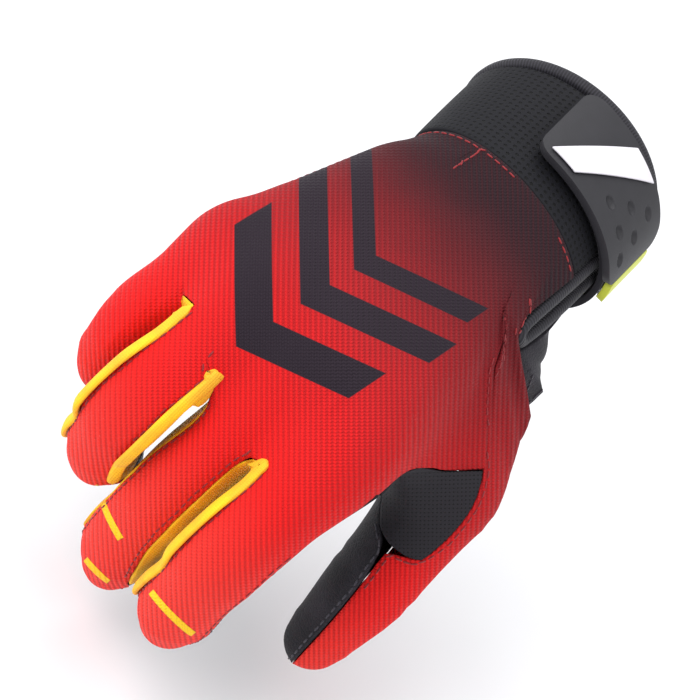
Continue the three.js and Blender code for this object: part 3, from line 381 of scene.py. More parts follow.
def seam_loops(node):
    """Sharp outer edges of a panel as chains: points, the way into the panel and the normal at each, mm."""
    work = merged(node)
    work.edges.ensure_lookup_table()
    rows = []
    for edge in work.edges:
        if len(edge.link_faces) != 2 or edge.calc_face_angle() < math.radians(SEAM_ANGLE):
            continue
        main, wall = sorted(edge.link_faces, key=lambda face: -face.calc_area())
        middle = (edge.verts[0].co + edge.verts[1].co) / 2
        way = (edge.verts[1].co - edge.verts[0].co).normalized()
        inside = (main.calc_center_median() - middle)
        inside = (inside - way * inside.dot(way)).normalized()
        rows.append((edge.verts[0].index, edge.verts[1].index, *middle, *main.normal, *inside))
    places = np.array([vertex.co for vertex in work.verts]) / MM
    work.free()
    if not rows:
        return []
    table = np.array(rows)
    middles, normals, insides = table[:, 2:5] / MM, table[:, 5:8], table[:, 8:11]
    away, _, _ = from_bones(middles)
    keep = (unit(away) * normals).sum(1) > 0.1
    links = {}
    for k in np.flatnonzero(keep):
        for corner in (int(table[k, 0]), int(table[k, 1])):
            links.setdefault(corner, []).append(int(k))
    loops, used = [], set()
    for first in np.flatnonzero(keep):
        if first in used:
            continue
        chain, corner, edge = [], int(table[first, 1]), int(first)
        while edge is not None and edge not in used:
            used.add(edge)
            chain.append((places[corner], insides[edge], normals[edge]))
            following = [k for k in links[corner] if k not in used]
            edge = following[0] if following else None
            if edge is not None:
                a, b = int(table[edge, 0]), int(table[edge, 1])
                corner = b if a == corner else a
        if len(chain) > 5:
            loops.append(tuple(np.array(part) for part in zip(*chain)))
    return loops


def slot_rim(node, name, width, height):
    """Yellow edge of a slot: the part of the side panel's seam that runs along the back, as one soft band
    carried along the smoothed seam, its width across the seam in the back's surface."""
    loops = seam_loops(node)
    points = max(loops, key=lambda loop: len(loop[0]))[0]
    trees = {}
    for face in ("back_panel", "palm_panel"):
        work = merged(face)
        trees[face] = BVHTree.FromBMesh(work)
        work.free()
    hits = {face: [tree.find_nearest(Vector(p * MM)) for p in points] for face, tree in trees.items()}
    on_back = np.array([a[3] < b[3] for a, b in zip(hits["back_panel"], hits["palm_panel"])])
    normals = np.array([unit(from_bones(p[None])[0])[0] for p in points])
    start = int(np.flatnonzero(~on_back)[0]) if (~on_back).any() else 0
    order = (np.arange(len(points)) + start) % len(points)
    runs = np.split(order, np.flatnonzero(np.diff(on_back[order].astype(int)) != 0) + 1)
    run = max((one for one in runs if on_back[one[0]]), key=len)
    path = smooth_path(points[run], 6 * len(run))
    high = unit(smooth_path(normals[run], 6 * len(run)))
    ahead = unit(np.gradient(path, axis=0))
    high = unit(high - ahead * (high * ahead).sum(1, keepdims=True))
    wide = np.cross(ahead, high)
    share = np.linspace(0, 1, len(path))
    slim = np.clip(np.minimum(share, 1 - share) / 0.06, 0.25, 1)[:, None]
    return rail(name, path + high * height * 0.1, wide * slim, high * slim, width, height, 16)


def stitch_row(loops, inset, pitch):
    """Places, ways and normals of stitches at an even pitch along the chains, moved into the panel."""
    places, ways, ups = [], [], []
    for points, insides, normals in loops:
        steps = np.concatenate([[0], np.cumsum(np.linalg.norm(np.diff(points, axis=0), axis=1))])
        at = np.arange(pitch / 2, steps[-1], pitch)
        line, into, up = (
            np.stack([np.interp(at, steps, part[:, k]) for k in range(3)], -1)
            for part in (points, insides, normals))
        shifted = line + unit(into) * inset
        places.append(shifted[1:-1])
        ways.append(unit(shifted[2:] - shifted[:-2]))
        ups.append(unit(up)[1:-1])
    return np.concatenate(places), np.concatenate(ways), np.concatenate(ups)


def stitches(name, target, row, length, width, lift=0.05):
    """Rounded threads: a small capsule turned along its way at every place, set on the target's surface."""
    places, ways, ups = row
    tree = BVHTree.FromObject(target, bpy.context.evaluated_depsgraph_get())
    found = [tree.find_nearest(Vector(place * MM)) for place in places]
    near = np.array([hit[3] is not None and hit[3] < 2.5 * MM for hit in found])
    places = np.array([np.array(hit[0]) / MM if hit[0] else place for hit, place in zip(found, places)])[near]
    ways = ways[near]
    surface = np.array([np.array(hit[1]) for hit in found])[near]
    away, _, _ = from_bones(places)
    good = (unit(away) * surface).sum(1) > 0
    places, ways, surface = places[good], ways[good], surface[good]
    ways = unit(ways - surface * (ways * surface).sum(1, keepdims=True))
    sides = np.cross(surface, ways)
    rings = np.array([[-0.5, 0.25], [-0.42, 0.75], [-0.2, 1.0], [0.2, 1.0], [0.42, 0.75], [0.5, 0.25]])
    turn = np.arange(6) / 6 * 2 * math.pi
    shape = np.zeros((len(rings), 6, 3))
    shape[..., 0] = rings[:, :1] * length
    shape[..., 1] = rings[:, 1:] * np.cos(turn) * width / 2
    shape[..., 2] = rings[:, 1:] * np.sin(turn) * width / 2
    shape = shape.reshape(-1, 3)
    basis = np.stack([ways, sides, surface], 1)
    points = (places + surface * lift)[:, None] + np.einsum("pk,nkj->npj", shape, basis)
    one = np.arange(len(rings) * 6).reshape(len(rings), 6)
    after = np.roll(one, -1, 1)
    quads = np.stack([one[:-1], after[:-1], after[1:], one[1:]], -1).reshape(-1, 4)
    count = len(shape)
    shift = (np.arange(len(places)) * count)[:, None]
    faces = (quads.ravel()[None] + shift).reshape(-1, 4)
    caps = np.concatenate([one[0][::-1][None] + shift, one[-1][None] + shift])
    return piece_from(name, points.reshape(-1, 3), faces, caps=caps.tolist())


# Materials

def linear(red, green, blue):
    """Linear colour of an sRGB one in 0 to 255."""
    c = np.array([red, green, blue]) / 255
    return (*np.where(c <= 0.04045, c / 12.92, ((c + 0.055) / 1.055) ** 2.4), 1.0)


class Wire:
    """A number in a material's node tree; arithmetic on it adds Math nodes."""

    def __init__(self, tree, socket):
        self.tree, self.socket = tree, socket

    def math(self, operation, *others):
        node = self.tree.nodes.new("ShaderNodeMath")
        node.operation = operation
        for slot, value in zip(node.inputs, (self, *others)):
            if isinstance(value, Wire):
                self.tree.links.new(value.socket, slot)
            else:
                slot.default_value = value
        return Wire(self.tree, node.outputs[0])

    def __add__(self, other):
        return self.math("ADD", other)

    def __sub__(self, other):
        return self.math("SUBTRACT", other)

    def __mul__(self, other):
        return self.math("MULTIPLY", other)

    def size(self):
        return self.math("ABSOLUTE")

    def sine(self):
        return self.math("SINE")

    def least(self, other):
        return self.math("MINIMUM", other)

    def most(self, other):
        return self.math("MAXIMUM", other)

    def ease(self, low, high, start=0.0, end=1.0):
        """Smooth step from start at low to end at high."""
        node = self.tree.nodes.new("ShaderNodeMapRange")
        node.interpolation_type = "SMOOTHSTEP"
        self.tree.links.new(self.socket, node.inputs["Value"])
        for name, value in (("From Min", low), ("From Max", high), ("To Min", start), ("To Max", end)):
            node.inputs[name].default_value = value
        return Wire(self.tree, node.outputs[0])


class Finish:
    """A material under construction: its place in mm, its patterns and its shader."""

    def __init__(self, name, attribute=None):
        self.material = bpy.data.materials.new(name)
        self.material.use_nodes = True
        self.tree = self.material.node_tree
        self.shader = next(node for node in self.tree.nodes if node.type == "BSDF_PRINCIPLED")
        if attribute:
            source = self.tree.nodes.new("ShaderNodeAttribute")
            source.attribute_name = attribute
            self.place = source.outputs["Vector"]
        else:
            source = self.tree.nodes.new("ShaderNodeTexCoord")
            scale = self.tree.nodes.new("ShaderNodeVectorMath")
            scale.operation = "SCALE"
            scale.inputs["Scale"].default_value = 1 / MM
            self.tree.links.new(source.outputs["Object"], scale.inputs[0])
            self.place = scale.outputs[0]

    def along(self, way, start=0.0):
        """Distance along a way, from a start."""
        node = self.tree.nodes.new("ShaderNodeVectorMath")
        node.operation = "DOT_PRODUCT"
        self.tree.links.new(self.place, node.inputs[0])
        node.inputs[1].default_value = tuple(float(q) for q in way)
        return Wire(self.tree, node.outputs["Value"]) - float(start)

    def away(self, point):
        """Distance from a point."""
        node = self.tree.nodes.new("ShaderNodeVectorMath")
        node.operation = "DISTANCE"
        self.tree.links.new(self.place, node.inputs[0])
        node.inputs[1].default_value = tuple(float(q) for q in point)
        return Wire(self.tree, node.outputs["Value"])

    def noise(self, scale, detail=3.0, rough=0.5):
        """Soft noise from 0 to 1."""
        node = self.tree.nodes.new("ShaderNodeTexNoise")
        node.inputs["Scale"].default_value = scale
        node.inputs["Detail"].default_value = detail
        node.inputs["Roughness"].default_value = rough
        self.tree.links.new(self.place, node.inputs["Vector"])
        return Wire(self.tree, node.outputs["Fac"])

    def cells(self, scale, feature):
        """Distance pattern of irregular cells."""
        node = self.tree.nodes.new("ShaderNodeTexVoronoi")
        node.feature = feature
        node.inputs["Scale"].default_value = scale
        self.tree.links.new(self.place, node.inputs["Vector"])
        return Wire(self.tree, node.outputs["Distance"])

    def blend(self, share, low, high):
        """Colour between two, each a colour or a socket."""
        node = self.tree.nodes.new("ShaderNodeMix")
        node.data_type = "RGBA"
        self.tree.links.new(share.socket, node.inputs["Factor"])
        for slot, value in ((node.inputs[6], low), (node.inputs[7], high)):
            if isinstance(value, tuple):
                slot.default_value = value
            else:
                self.tree.links.new(value, slot)
        return node.outputs[2]

    def colour(self, socket):
        """Joins a blended colour to the shader."""
        self.tree.links.new(socket, self.shader.inputs["Base Color"])

    def relief(self, height, depth):
        """Bump from a height of 0 to 1 that stands for a depth in mm."""
        node = self.tree.nodes.new("ShaderNodeBump")
        node.inputs["Distance"].default_value = depth * MM
        node.inputs["Strength"].default_value = 1.0
        self.tree.links.new(height.socket, node.inputs["Height"])
        self.tree.links.new(node.outputs[0], self.shader.inputs["Normal"])

    def surface(self, roughness, sheen=0.0, specular=0.5):
        """Sets the shader's gloss on its own sockets and gives the finished material."""
        inputs = self.shader.inputs
        inputs["Roughness"].default_value = roughness
        inputs["Sheen Weight"].default_value = sheen
        inputs["Sheen Roughness"].default_value = 0.4
        inputs["Specular IOR Level"].default_value = specular
        return self.material


def picture(x, y):
    """Distances right and up of the view's middle, mm, of a place in the photograph's frame."""
    scale = VIEW_DISTANCE / FOCUS_PIXELS
    return (x - FRAME_HALF) * scale, (FRAME_HALF - y) * scale


def stroke(finish, right, up, start, end, width, soft=0.25):
    """Mask of a straight stroke on the back between two places: 1 within half its width and length."""
    (ax, ay), (bx, by) = picture(*start), picture(*end)
    length = math.hypot(bx - ax, by - ay)
    ux, uy = (bx - ax) / length, (by - ay) / length
    along = ((right - (ax + bx) / 2) * ux + (up - (ay + by) / 2) * uy).size()
    across = ((right - (ax + bx) / 2) * -uy + (up - (ay + by) / 2) * ux).size()
    return across.ease(width / 2, width / 2 + soft, 1, 0) * along.ease(length / 2, length / 2 + soft, 1, 0)


def knit_back():
    """Ribbed knit, black at the wrist fading through dark red to red and coral at the fingertips, with black
    chevrons on the back and yellow flex lines on two fingers."""
    tone = bpy.context.scene.glove_tones
    finish = Finish("Knit")
    right = finish.along(RIGHT, TARGET @ RIGHT + VIEW_SHIFT[0])
    up = finish.along(UP, TARGET @ UP + VIEW_SHIFT[1])
    cloud = finish.noise(0.05, 3.0) - 0.5
    (sx, sy) = picture(470, 170)
    fade = (right - sx) * -0.75 + (up - sy) * -0.66 + cloud * 8
    slit = finish.away((30.0, -50.0, 4.0)) * 2.2 - 36.0 + cloud * 10
    fade = fade.least(slit)
    colour = finish.blend(fade.ease(-2, 46), linear(40, 24, 30), linear(146, 26, 32))
    colour = finish.blend(fade.ease(22, 96), colour, tuple(tone.back_red))
    tips = finish.along((-0.1, -0.62, -0.78), 128.0)
    colour = finish.blend(tips.ease(-14, 30), colour, tuple(tone.tip_coral))
    rib = (right * (2 * math.pi / bpy.context.scene.glove_sizes.rib_pitch) + cloud * 1.2).sine()
    thread = (up * 7.4 + (right * 4.8).sine() * 0.9).sine()
    shade = rib.ease(-1.0, 0.4, 0.62, 0.0)
    colour = finish.blend(shade * 0.55, colour, linear(70, 14, 22))
    chevrons = None
    (cx, cy) = picture(285, 318)
    along = (right - cx) * -0.833 + (up - cy) * -0.553
    across = ((right - cx) * 0.553 + (up - cy) * -0.833)
    peak = along + across.size() * 0.62
    for place, half, reach in ((-25.0, 3.2, 27.0), (-10.0, 4.2, 30.0), (8.0, 5.4, 26.0)):
        band = (peak - place).size().ease(half, half + 0.35, 1, 0)
        one = band * across.size().ease(reach, reach + 0.4, 1, 0)
        chevrons = one if chevrons is None else chevrons.most(one)
    colour = finish.blend(chevrons, colour, linear(40, 31, 40))
    lines = None
    for start, end in (((157, 585), (197, 627)), ((97, 485), (125, 535)), ((85, 560), (107, 583))):
        one = stroke(finish, right, up, start, end, 1.7)
        lines = one if lines is None else lines.most(one)
    colour = finish.blend(lines, colour, tuple(tone.side_yellow))
    finish.colour(colour)
    finish.relief(rib * 0.5 + thread * 0.22 + lines * 1.4 + finish.noise(1.6, 4.0) * 0.3, 0.34)
    return finish.surface(0.8, sheen=0.03, specular=0.18)


def leather():
    """Grained leather, worn a little lighter in soft clouds."""
    finish = Finish("Leather")
    grain = finish.cells(0.9, "DISTANCE_TO_EDGE")
    pores = finish.noise(2.2, 5.0, 0.6)
    wear = finish.noise(0.06, 4.0)
    finish.colour(finish.blend(wear.ease(0.35, 0.75), linear(30, 28, 34), linear(52, 48, 56)))
    finish.relief(grain.ease(0, 0.16) * 0.8 + pores * 0.5, 0.16)
    return finish.surface(0.6, sheen=0.0, specular=0.28)


def stretch_side():
    """Bright stretch knit of the finger sides: fine crossing ribs."""
    tone = bpy.context.scene.glove_tones
    finish = Finish("Stretch")
    weave = (finish.along(UP) * 7.0).sine() * (finish.along(RIGHT) * 7.0).sine()
    shade = finish.noise(0.12, 3.0).ease(0.3, 0.75)
    finish.colour(finish.blend(shade, tuple(tone.side_yellow), linear(235, 178, 48)))
    finish.relief(weave * 0.5 + 0.5, 0.12)
    return finish.surface(0.7, sheen=0.05, specular=0.2)


def mesh_gusset():
    """Dark open mesh of the gusset between thumb and index: small round holes in staggered rows."""
    finish = Finish("Gusset_mesh")
    rows = (finish.along(UP) * 2.9).sine() * (finish.along(RIGHT) * 2.9).sine()
    hole = rows.size().ease(0.7, 0.92, 1, 0)
    # The holes are painted darker than the mesh round them: painted shade inside the holes.
    finish.colour(finish.blend(hole, linear(14, 13, 16), linear(34, 31, 37)))
    finish.relief(hole + finish.noise(2.2, 4.0) * 0.4, 0.2)
    return finish.surface(0.66, specular=0.25)


def perforated_cuff():
    """Near-black padded cuff with staggered rows of small holes, on the piece's own coordinates."""
    tone = bpy.context.scene.glove_tones
    finish = Finish("Perforated_cuff", "flat")
    a, b = finish.along(X), finish.along(Y)
    dots = (a * (math.pi / 2.1)).sine() * (b * (math.pi / 2.1)).sine()
    hole = dots.size().ease(0.62, 0.86)
    fuzz = finish.noise(2.4, 4.0)
    # The perforations are painted near-black: painted shade inside the holes.
    finish.colour(finish.blend(hole, tuple(tone.cuff_black), linear(8, 8, 10)))
    finish.relief((hole * -1.0 + 1.0) * 1.0 + fuzz * 0.14, 0.55)
    return finish.surface(0.7, sheen=0.02, specular=0.2)


def ribbed_binding():
    """Folded edge tape: fine ribs across its length, on the piece's own coordinates."""
    finish = Finish("Edge_tape", "flat")
    rib = (finish.along(X) * (2 * math.pi / 0.85)).sine()
    # The rib crests are painted lighter and the grooves darker: painted light on the crests and painted shade
    # in the grooves.
    finish.colour(finish.blend(rib.ease(-1, 1), linear(22, 21, 26), linear(44, 42, 50)))
    finish.relief(rib * 0.5 + finish.noise(1.8, 3.0) * 0.3, 0.16)
    return finish.surface(0.62, sheen=0.1, specular=0.35)


def strap_web():
    """Woven strap: a fine plain weave on the piece's own coordinates."""
    finish = Finish("Strap_web", "flat")
    weave = (finish.along(X) * 4.2).sine() * (finish.along(Y) * 4.2).sine()
    # The weave's raised points are painted lighter and its hollows darker: painted light on the raised points
    # and painted shade in the hollows.
    finish.colour(finish.blend(weave.ease(-1, 1), linear(20, 19, 24), linear(40, 38, 45)))
    finish.relief(weave * 0.5 + 0.5, 0.2)
    return finish.surface(0.7, sheen=0.15, specular=0.3)


def moulded(name, colour, roughness, dark=0.82, texture=0.05):
    """Moulded rubber of one colour with a fine matt skin and slightly darker worn clouds."""
    finish = Finish(name, "flat")
    cloud = finish.noise(0.16, 4.0).ease(0.3, 0.75)
    low = tuple(c * dark for c in colour[:3]) + (1.0,)
    finish.colour(finish.blend(cloud, low, tuple(colour)))
    finish.relief(finish.noise(4.5, 4.0), texture)
    return finish.surface(roughness, specular=0.45)


def thread(name, colour):
    """Twisted sewing thread."""
    finish = Finish(name)
    twist = (finish.along((1.0, 0.7, 0.4)) * 14.0).sine()
    low = tuple(c * 0.6 for c in colour[:3]) + (1.0,)
    finish.colour(finish.blend(twist.ease(-1, 1), low, tuple(colour)))
    return finish.surface(0.55, sheen=0.2, specular=0.4)


def dressed(piece, material, slot, *nodes):
    """The piece takes its material, rides on the glove and stands for its CAD nodes."""
    piece.data.materials.clear()
    piece.data.materials.append(material)
    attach(piece, "root")
    if nodes:
        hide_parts(*nodes)
    return piece


# Sizes and colours that a user would change

def length_property(label, text, value):
    return bpy.props.FloatProperty(name=label, description=text, default=value, min=0.01)


def tone_property(label, text, colour):
    return bpy.props.FloatVectorProperty(
        name=label, description=text, default=colour, size=4, subtype="COLOR", min=0.0, max=1.0)


class GloveSizes(bpy.types.PropertyGroup):
    """Sizes of the detail, in mm"""
    rib_pitch: length_property("Rib pitch", "Distance between ribs of the knit, mm", 1.35)
    stitch_pitch: length_property("Stitch pitch", "Distance from stitch to stitch, mm", 2.7)
    stitch_length: length_property("Stitch length", "Length of one stitch, mm", 2.0)
    stitch_width: length_property("Stitch width", "Thickness of the thread, mm", 0.55)
    seam_inset: length_property("Seam inset", "Distance of a stitch row from its seam, mm", 1.5)
    fold_depth: length_property("Fold depth", "Depth of the folds in the cloth, mm", 0.9)
    rim_width: length_property("Slot rim width", "Width of the yellow edge round a slot, mm", 3.6)
    rim_height: length_property("Slot rim height", "Height of the yellow edge round a slot, mm", 1.8)
    dimple_width: length_property("Dimple width", "Width of a dimple in the badge, mm", 3.6)


class GloveTones(bpy.types.PropertyGroup):
    """Colours of the glove"""
    back_red: tone_property("Back", "Knit of the back", linear(236, 26, 26))
    tip_coral: tone_property("Fingertips", "Knit of the fingertips", linear(252, 62, 52))
    side_yellow: tone_property("Finger sides", "Stretch knit of the finger sides", linear(255, 205, 36))
    cuff_black: tone_property("Cuff", "Padded cuff", linear(22, 22, 27))
    badge_grey: tone_property("Badge", "Rubber badge", linear(38, 37, 42))
    bar_white: tone_property("Bar", "Slanted bar on the badge", linear(232, 228, 235))
    tip_neon: tone_property("Strap tip", "Rubber tip of the strap", linear(215, 222, 75))


# Operators

class GLOVE_OT_back(bpy.types.Operator):
    """Make the knit back of the hand"""
    bl_idname = "glove.back"
    bl_label = "Back panel"

    def execute(self, context):
        sizes = context.scene.glove_sizes
        piece = sewn_panel("back_panel", "back_knit", 2, sizes.fold_depth)
        dressed(piece, knit_back(), "knit_back", "back_panel")
        row = stitch_row(seam_loops("back_panel"), sizes.seam_inset, sizes.stitch_pitch)
        sewn = stitches("back_stitches", piece, row, sizes.stitch_length, sizes.stitch_width)
        dressed(sewn, thread("Red_thread", linear(150, 26, 34)), "knit_back")
        return {"FINISHED"}


class GLOVE_OT_palm(bpy.types.Operator):
    """Make the leather palm"""
    bl_idname = "glove.palm"
    bl_label = "Palm panel"

    def execute(self, context):
        sizes = context.scene.glove_sizes
        piece = sewn_panel("palm_panel", "palm_leather", 2, sizes.fold_depth)
        dressed(piece, leather(), "palm_leather", "palm_panel")
        row = stitch_row(seam_loops("palm_panel"), sizes.seam_inset, sizes.stitch_pitch)
        sewn = stitches("palm_stitches", piece, row, sizes.stitch_length, sizes.stitch_width)
        dressed(sewn, thread("Grey_thread", linear(72, 68, 78)), "palm_leather")
        return {"FINISHED"}


class GLOVE_OT_sides(bpy.types.Operator):
    """Make the yellow side panels between the fingers and the gusset at the thumb"""
    bl_idname = "glove.sides"
    bl_label = "Finger sides and gusset"

    def execute(self, context):
        sizes, cloth = context.scene.glove_sizes, stretch_side()
        for pair, flat, area in (
            ("index_middle", (0.020, 0.090), 0.00115),
            ("middle_ring", (0.020, 0.085), 0.00109),
            ("ring_little", (0.019, 0.075), 0.00089),
        ):
            piece = sewn_panel("fourchette_" + pair, "side_" + pair, 2)
            dressed(piece, cloth, "finger_sides", "fourchette_" + pair)
            rim = slot_rim("fourchette_" + pair, "rim_" + pair, sizes.rim_width, sizes.rim_height)
            dressed(rim, cloth, "finger_sides")
        piece = sewn_panel("thumb_gusset", "gusset_mesh", 2)
        dressed(piece, mesh_gusset(), "gusset", "thumb_gusset")
        return {"FINISHED"}


class GLOVE_OT_cuff(bpy.types.Operator):
    """Make the padded cuff band and its two bindings"""
    bl_idname = "glove.cuff"
    bl_label = "Cuff"

    def execute(self, context):
        hem = math.hypot(
            CUFF_WIDTH * math.tan(math.radians(HEM_TURN)), CUFF_DEPTH * math.tan(math.radians(HEM_TILT)))
        rim_share = 1 - (BINDING_WIDTH + SEAM_GAP) / (CUFF_LENGTH - hem / 2)
        hem_share = SEAM_GAP / 2 / CUFF_LENGTH

        def band(u, v, level):
            share = hem_share + (rim_share - hem_share) * v
            half = degrees_per(share, np.full_like(share, SLIT_ANGLE), SLIT_WIDTH / 2 + SEAM_GAP / 2)
            angle = SLIT_ANGLE + half + (360 - 2 * half) * u
            puff = 0.35 * np.sin(math.pi * np.clip(v, 0, 1)) ** 0.5 * level
            return cuff_at(share, angle, -CUFF_THICKNESS * (1 - level) + puff)

        piece = bevelled(slab("cuff_band_skin", band, 168, 36, 178.0, 42.0), 0.6)
        dressed(piece, perforated_cuff(), "cuff", "cuff_band")
        tape = ribbed_binding()
        half = float(degrees_per(np.array(1.0), np.array(SLIT_ANGLE), SLIT_WIDTH / 2 + SEAM_GAP / 2))
        angle = np.linspace(SLIT_ANGLE + half, SLIT_ANGLE + 360 - half, 161)
        share = np.ones_like(angle)
        high = unit(cuff_normal(share, angle) * np.array([1.0, 0.0, 1.0]))
        at = cuff_point(share, angle) - high * CUFF_THICKNESS / 2
        at[:, 1] = -BINDING_WIDTH / 2
        wide = np.broadcast_to(Y, at.shape)
        reach = 2 * ROUND_SHARE
        rim = rail("rim_tape", at, wide, high, BINDING_WIDTH * reach, BINDING_HEIGHT * reach)
        dressed(rim, tape, "binding", "cuff_binding")
        piece = sewn_panel("slit_binding", "slit_tape", 2)
        dressed(piece, edge_tape_plain(), "binding", "slit_binding")
        return {"FINISHED"}


def edge_tape_plain():
    """The same tape where it turns round the slit: fine ribs on the object's own place."""
    finish = Finish("Edge_tape_slit")
    rib = (finish.along(unit(Y - Z * 0.3)) * (2 * math.pi / 0.85)).sine()
    # The rib crests are painted lighter and the grooves darker: painted light on the crests and painted shade
    # in the grooves.
    finish.colour(finish.blend(rib.ease(-1, 1), linear(22, 21, 26), linear(44, 42, 50)))
    finish.relief(rib * 0.5 + finish.noise(1.8, 3.0) * 0.3, 0.14)
    return finish.surface(0.62, sheen=0.1, specular=0.35)


def patch(start, length, width, base, thickness, corner, dimples=()):
    """Place on the strap of a flat piece with rounded corners: half its width shrinks over the corner as a
    circle does, and round dimples press its top in."""
    def place(u, v, level):
        along = length * (u - np.sin(2 * math.pi * u) * corner / length / 4)
        near = np.maximum(corner - np.minimum(along, length - along), 0)
        half = width / 2 - corner + np.sqrt(np.maximum(corner ** 2 - near ** 2, 0))
        across = (2 * v - 1) * half
        height = base + level * thickness
        for at, aside, wide, deep in dimples:
            gap = np.hypot(along - at, across - aside) / (wide / 2)
            height = height - level * deep * np.clip(1 - gap ** 2, 0, 1) ** 0.7
        return strap_point(start + along, across, height)
    return place


class GLOVE_OT_strap(bpy.types.Operator):
    """Make the closing strap, its badge with the slanted bar, its tip and its pull tab"""
    bl_idname = "glove.strap"
    bl_label = "Strap and badge"

    def execute(self, context):
        sizes, tones = context.scene.glove_sizes, context.scene.glove_tones
        length = BADGE_LENGTH + SEAM_GAP + TIP_LENGTH + STRAP_TAIL
        web = patch(0, length, STRAP_WIDTH, STRAP_BASE, STRAP_THICKNESS, BADGE_CORNER)
        piece = bevelled(slab("strap_web", web, 120, 30, length, STRAP_WIDTH), 0.5)
        dressed(piece, strap_web(), "strap", "strap")
        wide = sizes.dimple_width
        dimples = [
            (u * BADGE_LENGTH, (v - 0.5) * BADGE_WIDTH, wide, 1.2) for u, v in (
                (0.544, 0.28), (0.661, 0.53), (0.768, 0.773), (0.719, 0.254), (0.821, 0.485), (0.87, 0.205))]
        form = patch(0, BADGE_LENGTH, BADGE_WIDTH, BADGE_BASE, BADGE_THICKNESS, BADGE_CORNER, dimples)
        badge = bevelled(slab("badge_rubber", form, 150, 120, BADGE_LENGTH, BADGE_WIDTH), 0.7, 4)
        dressed(badge, moulded("Badge_rubber", tones.badge_grey, 0.5), "badge", "strap_badge")

        def slanted(u, v, level):
            across = BAR_MARGIN + (1 - 2 * BAR_MARGIN) * v
            low = BAR_ENDS[0][0] + (BAR_ENDS[1][0] - BAR_ENDS[0][0]) * across
            high = BAR_ENDS[0][1] + (BAR_ENDS[1][1] - BAR_ENDS[0][1]) * across
            height = BADGE_TOP + SEAM_GAP + level * BAR_THICKNESS
            return strap_point((low + (high - low) * u) * BADGE_LENGTH, (across - 0.5) * BADGE_WIDTH, height)

        piece = bevelled(slab("white_bar", slanted, 20, 50, 8.0, 30.0), 0.25)
        dressed(piece, moulded("White_rubber", tones.bar_white, 0.42, 0.93, 0.03), "bar", "strap_bar")
        start = BADGE_LENGTH + SEAM_GAP
        form = patch(start, TIP_LENGTH, TIP_WIDTH, BADGE_BASE, BADGE_THICKNESS, TIP_CORNER)
        piece = bevelled(slab("neon_tip", form, 24, 60, TIP_LENGTH, TIP_WIDTH), 0.5)
        dressed(piece, moulded("Neon_rubber", tones.tip_neon, 0.45, 0.9, 0.04), "tip", "strap_tip")
        start += SEAM_GAP + TIP_LENGTH

        def tab(u, v, level):
            height = BADGE_BASE + u * u * TAB_LIFT + level * TAB_THICKNESS
            return strap_point(start + u * TAB_LENGTH, TIP_WIDTH / 2 - TAB_WIDTH * v, height)

        piece = bevelled(slab("tab_loop", tab, 24, 14, TAB_LENGTH, TAB_WIDTH), 0.5)
        dressed(piece, strap_web(), "tip_cord", "pull_tab")
        return {"FINISHED"}


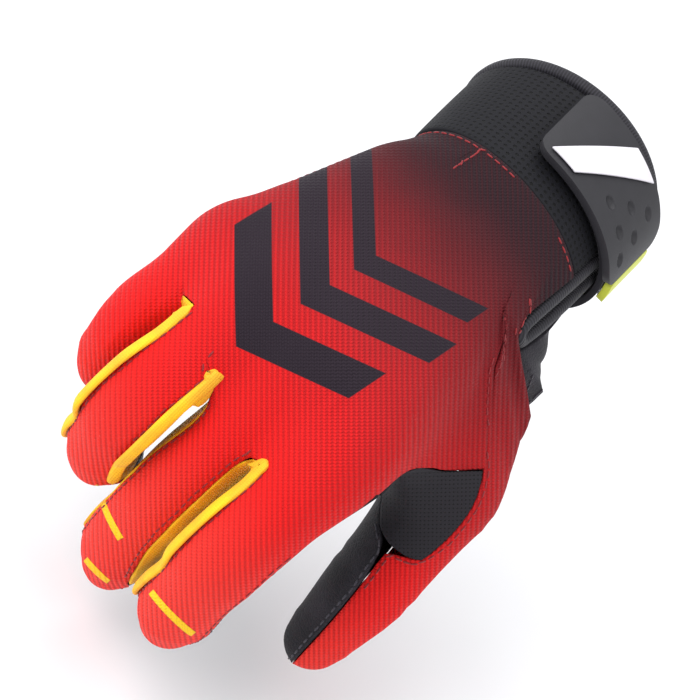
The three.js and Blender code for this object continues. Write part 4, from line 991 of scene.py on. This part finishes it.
class GLOVE_OT_stage(bpy.types.Operator):
    """Make the pale floor, the soft lights and the camera"""
    bl_idname = "glove.stage"
    bl_label = "Stage"

    def execute(self, context):
        scene = context.scene
        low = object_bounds()[0][2] - FLOOR_GAP
        mesh = bpy.data.meshes.new("floor")
        corners = [
            (x * FLOOR_HALF, y * FLOOR_HALF, low) for x, y in ((-1, -1), (1, -1), (1, 1), (-1, 1))]
        mesh.from_pydata(corners, [], [(0, 1, 2, 3)])
        floor = bpy.data.objects.new("floor", mesh)
        scene.collection.objects.link(floor)
        pale = Finish("Floor_paper")
        pale.colour(pale.blend(pale.noise(0.02, 2.0), linear(240, 240, 242), linear(246, 246, 247)))
        floor.data.materials.append(pale.surface(0.9, specular=0.2))
        floor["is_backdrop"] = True
        world = bpy.data.worlds.new("Studio")
        scene.world = world
        world.use_nodes = True
        back = world.node_tree.nodes["Background"]
        back.inputs[0].default_value, back.inputs[1].default_value = (0.97, 0.98, 1.0, 1.0), 0.8
        middle = Vector((TARGET + np.array([0, 30.0, 0])) * MM)
        for name, way, energy, size in (
            ("key", unit(BACK + UP * 0.75 - RIGHT * 0.35), 4.2, 0.6),
            ("fill", unit(BACK * 0.8 - UP * 0.1 + RIGHT * 1.0), 1.6, 0.8),
            ("rim", unit(UP * 1.0 - BACK * 0.05 + RIGHT * 0.3 + Z * 0.6), 1.6, 0.5),
        ):
            data = bpy.data.lights.new(name, "AREA")
            data.energy, data.size = energy, size
            lamp = bpy.data.objects.new(name, data)
            at = middle + Vector(way) * LAMP_DISTANCE
            aim = (middle - at).to_track_quat("-Z", "Y").to_matrix().to_4x4()
            lamp.matrix_world = Matrix.Translation(at) @ aim
            scene.collection.objects.link(lamp)
        data = bpy.data.cameras.new("view")
        data.lens, data.sensor_width = VIEW_LENS, 36.0
        data.clip_start, data.clip_end = 0.01, 20.0
        camera = bpy.data.objects.new("view", data)
        at = (TARGET + RIGHT * VIEW_SHIFT[0] + UP * VIEW_SHIFT[1] + BACK * VIEW_DISTANCE) * MM
        turn = Matrix([[float(axis[k]) for axis in (RIGHT, UP, BACK)] for k in range(3)]).to_4x4()
        camera.matrix_world = Matrix.Translation(Vector(at)) @ turn
        scene.collection.objects.link(camera)
        scene.camera = camera
        scene.view_settings.view_transform = "Standard"
        return {"FINISHED"}


class GLOVE_PT_panel(bpy.types.Panel):
    """Lists the glove's pieces, sizes and colours"""
    bl_label = "Glove"
    bl_idname = "GLOVE_PT_panel"
    bl_space_type = "VIEW_3D"
    bl_region_type = "UI"
    bl_category = "Glove"

    def draw(self, context):
        for operator in OPERATORS:
            self.layout.operator(operator.bl_idname)
        for group in (context.scene.glove_sizes, context.scene.glove_tones):
            for name in group.__annotations__:
                self.layout.prop(group, name)


OPERATORS = (GLOVE_OT_back, GLOVE_OT_palm, GLOVE_OT_sides, GLOVE_OT_cuff, GLOVE_OT_strap, GLOVE_OT_stage)
CLASSES = (GloveSizes, GloveTones, *OPERATORS, GLOVE_PT_panel)


def register():
    for item in CLASSES:
        bpy.utils.register_class(item)
    bpy.types.Scene.glove_sizes = bpy.props.PointerProperty(type=GloveSizes)
    bpy.types.Scene.glove_tones = bpy.props.PointerProperty(type=GloveTones)


def unregister():
    del bpy.types.Scene.glove_sizes
    del bpy.types.Scene.glove_tones
    for item in reversed(CLASSES):
        bpy.utils.unregister_class(item)


def main():
    """Makes the glove piece by piece."""
    register()
    bpy.ops.glove.back()
    bpy.ops.glove.palm()
    bpy.ops.glove.sides()
    bpy.ops.glove.cuff()
    bpy.ops.glove.strap()
    bpy.ops.glove.stage()
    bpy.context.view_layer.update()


if __name__ == "__main__":
    main()
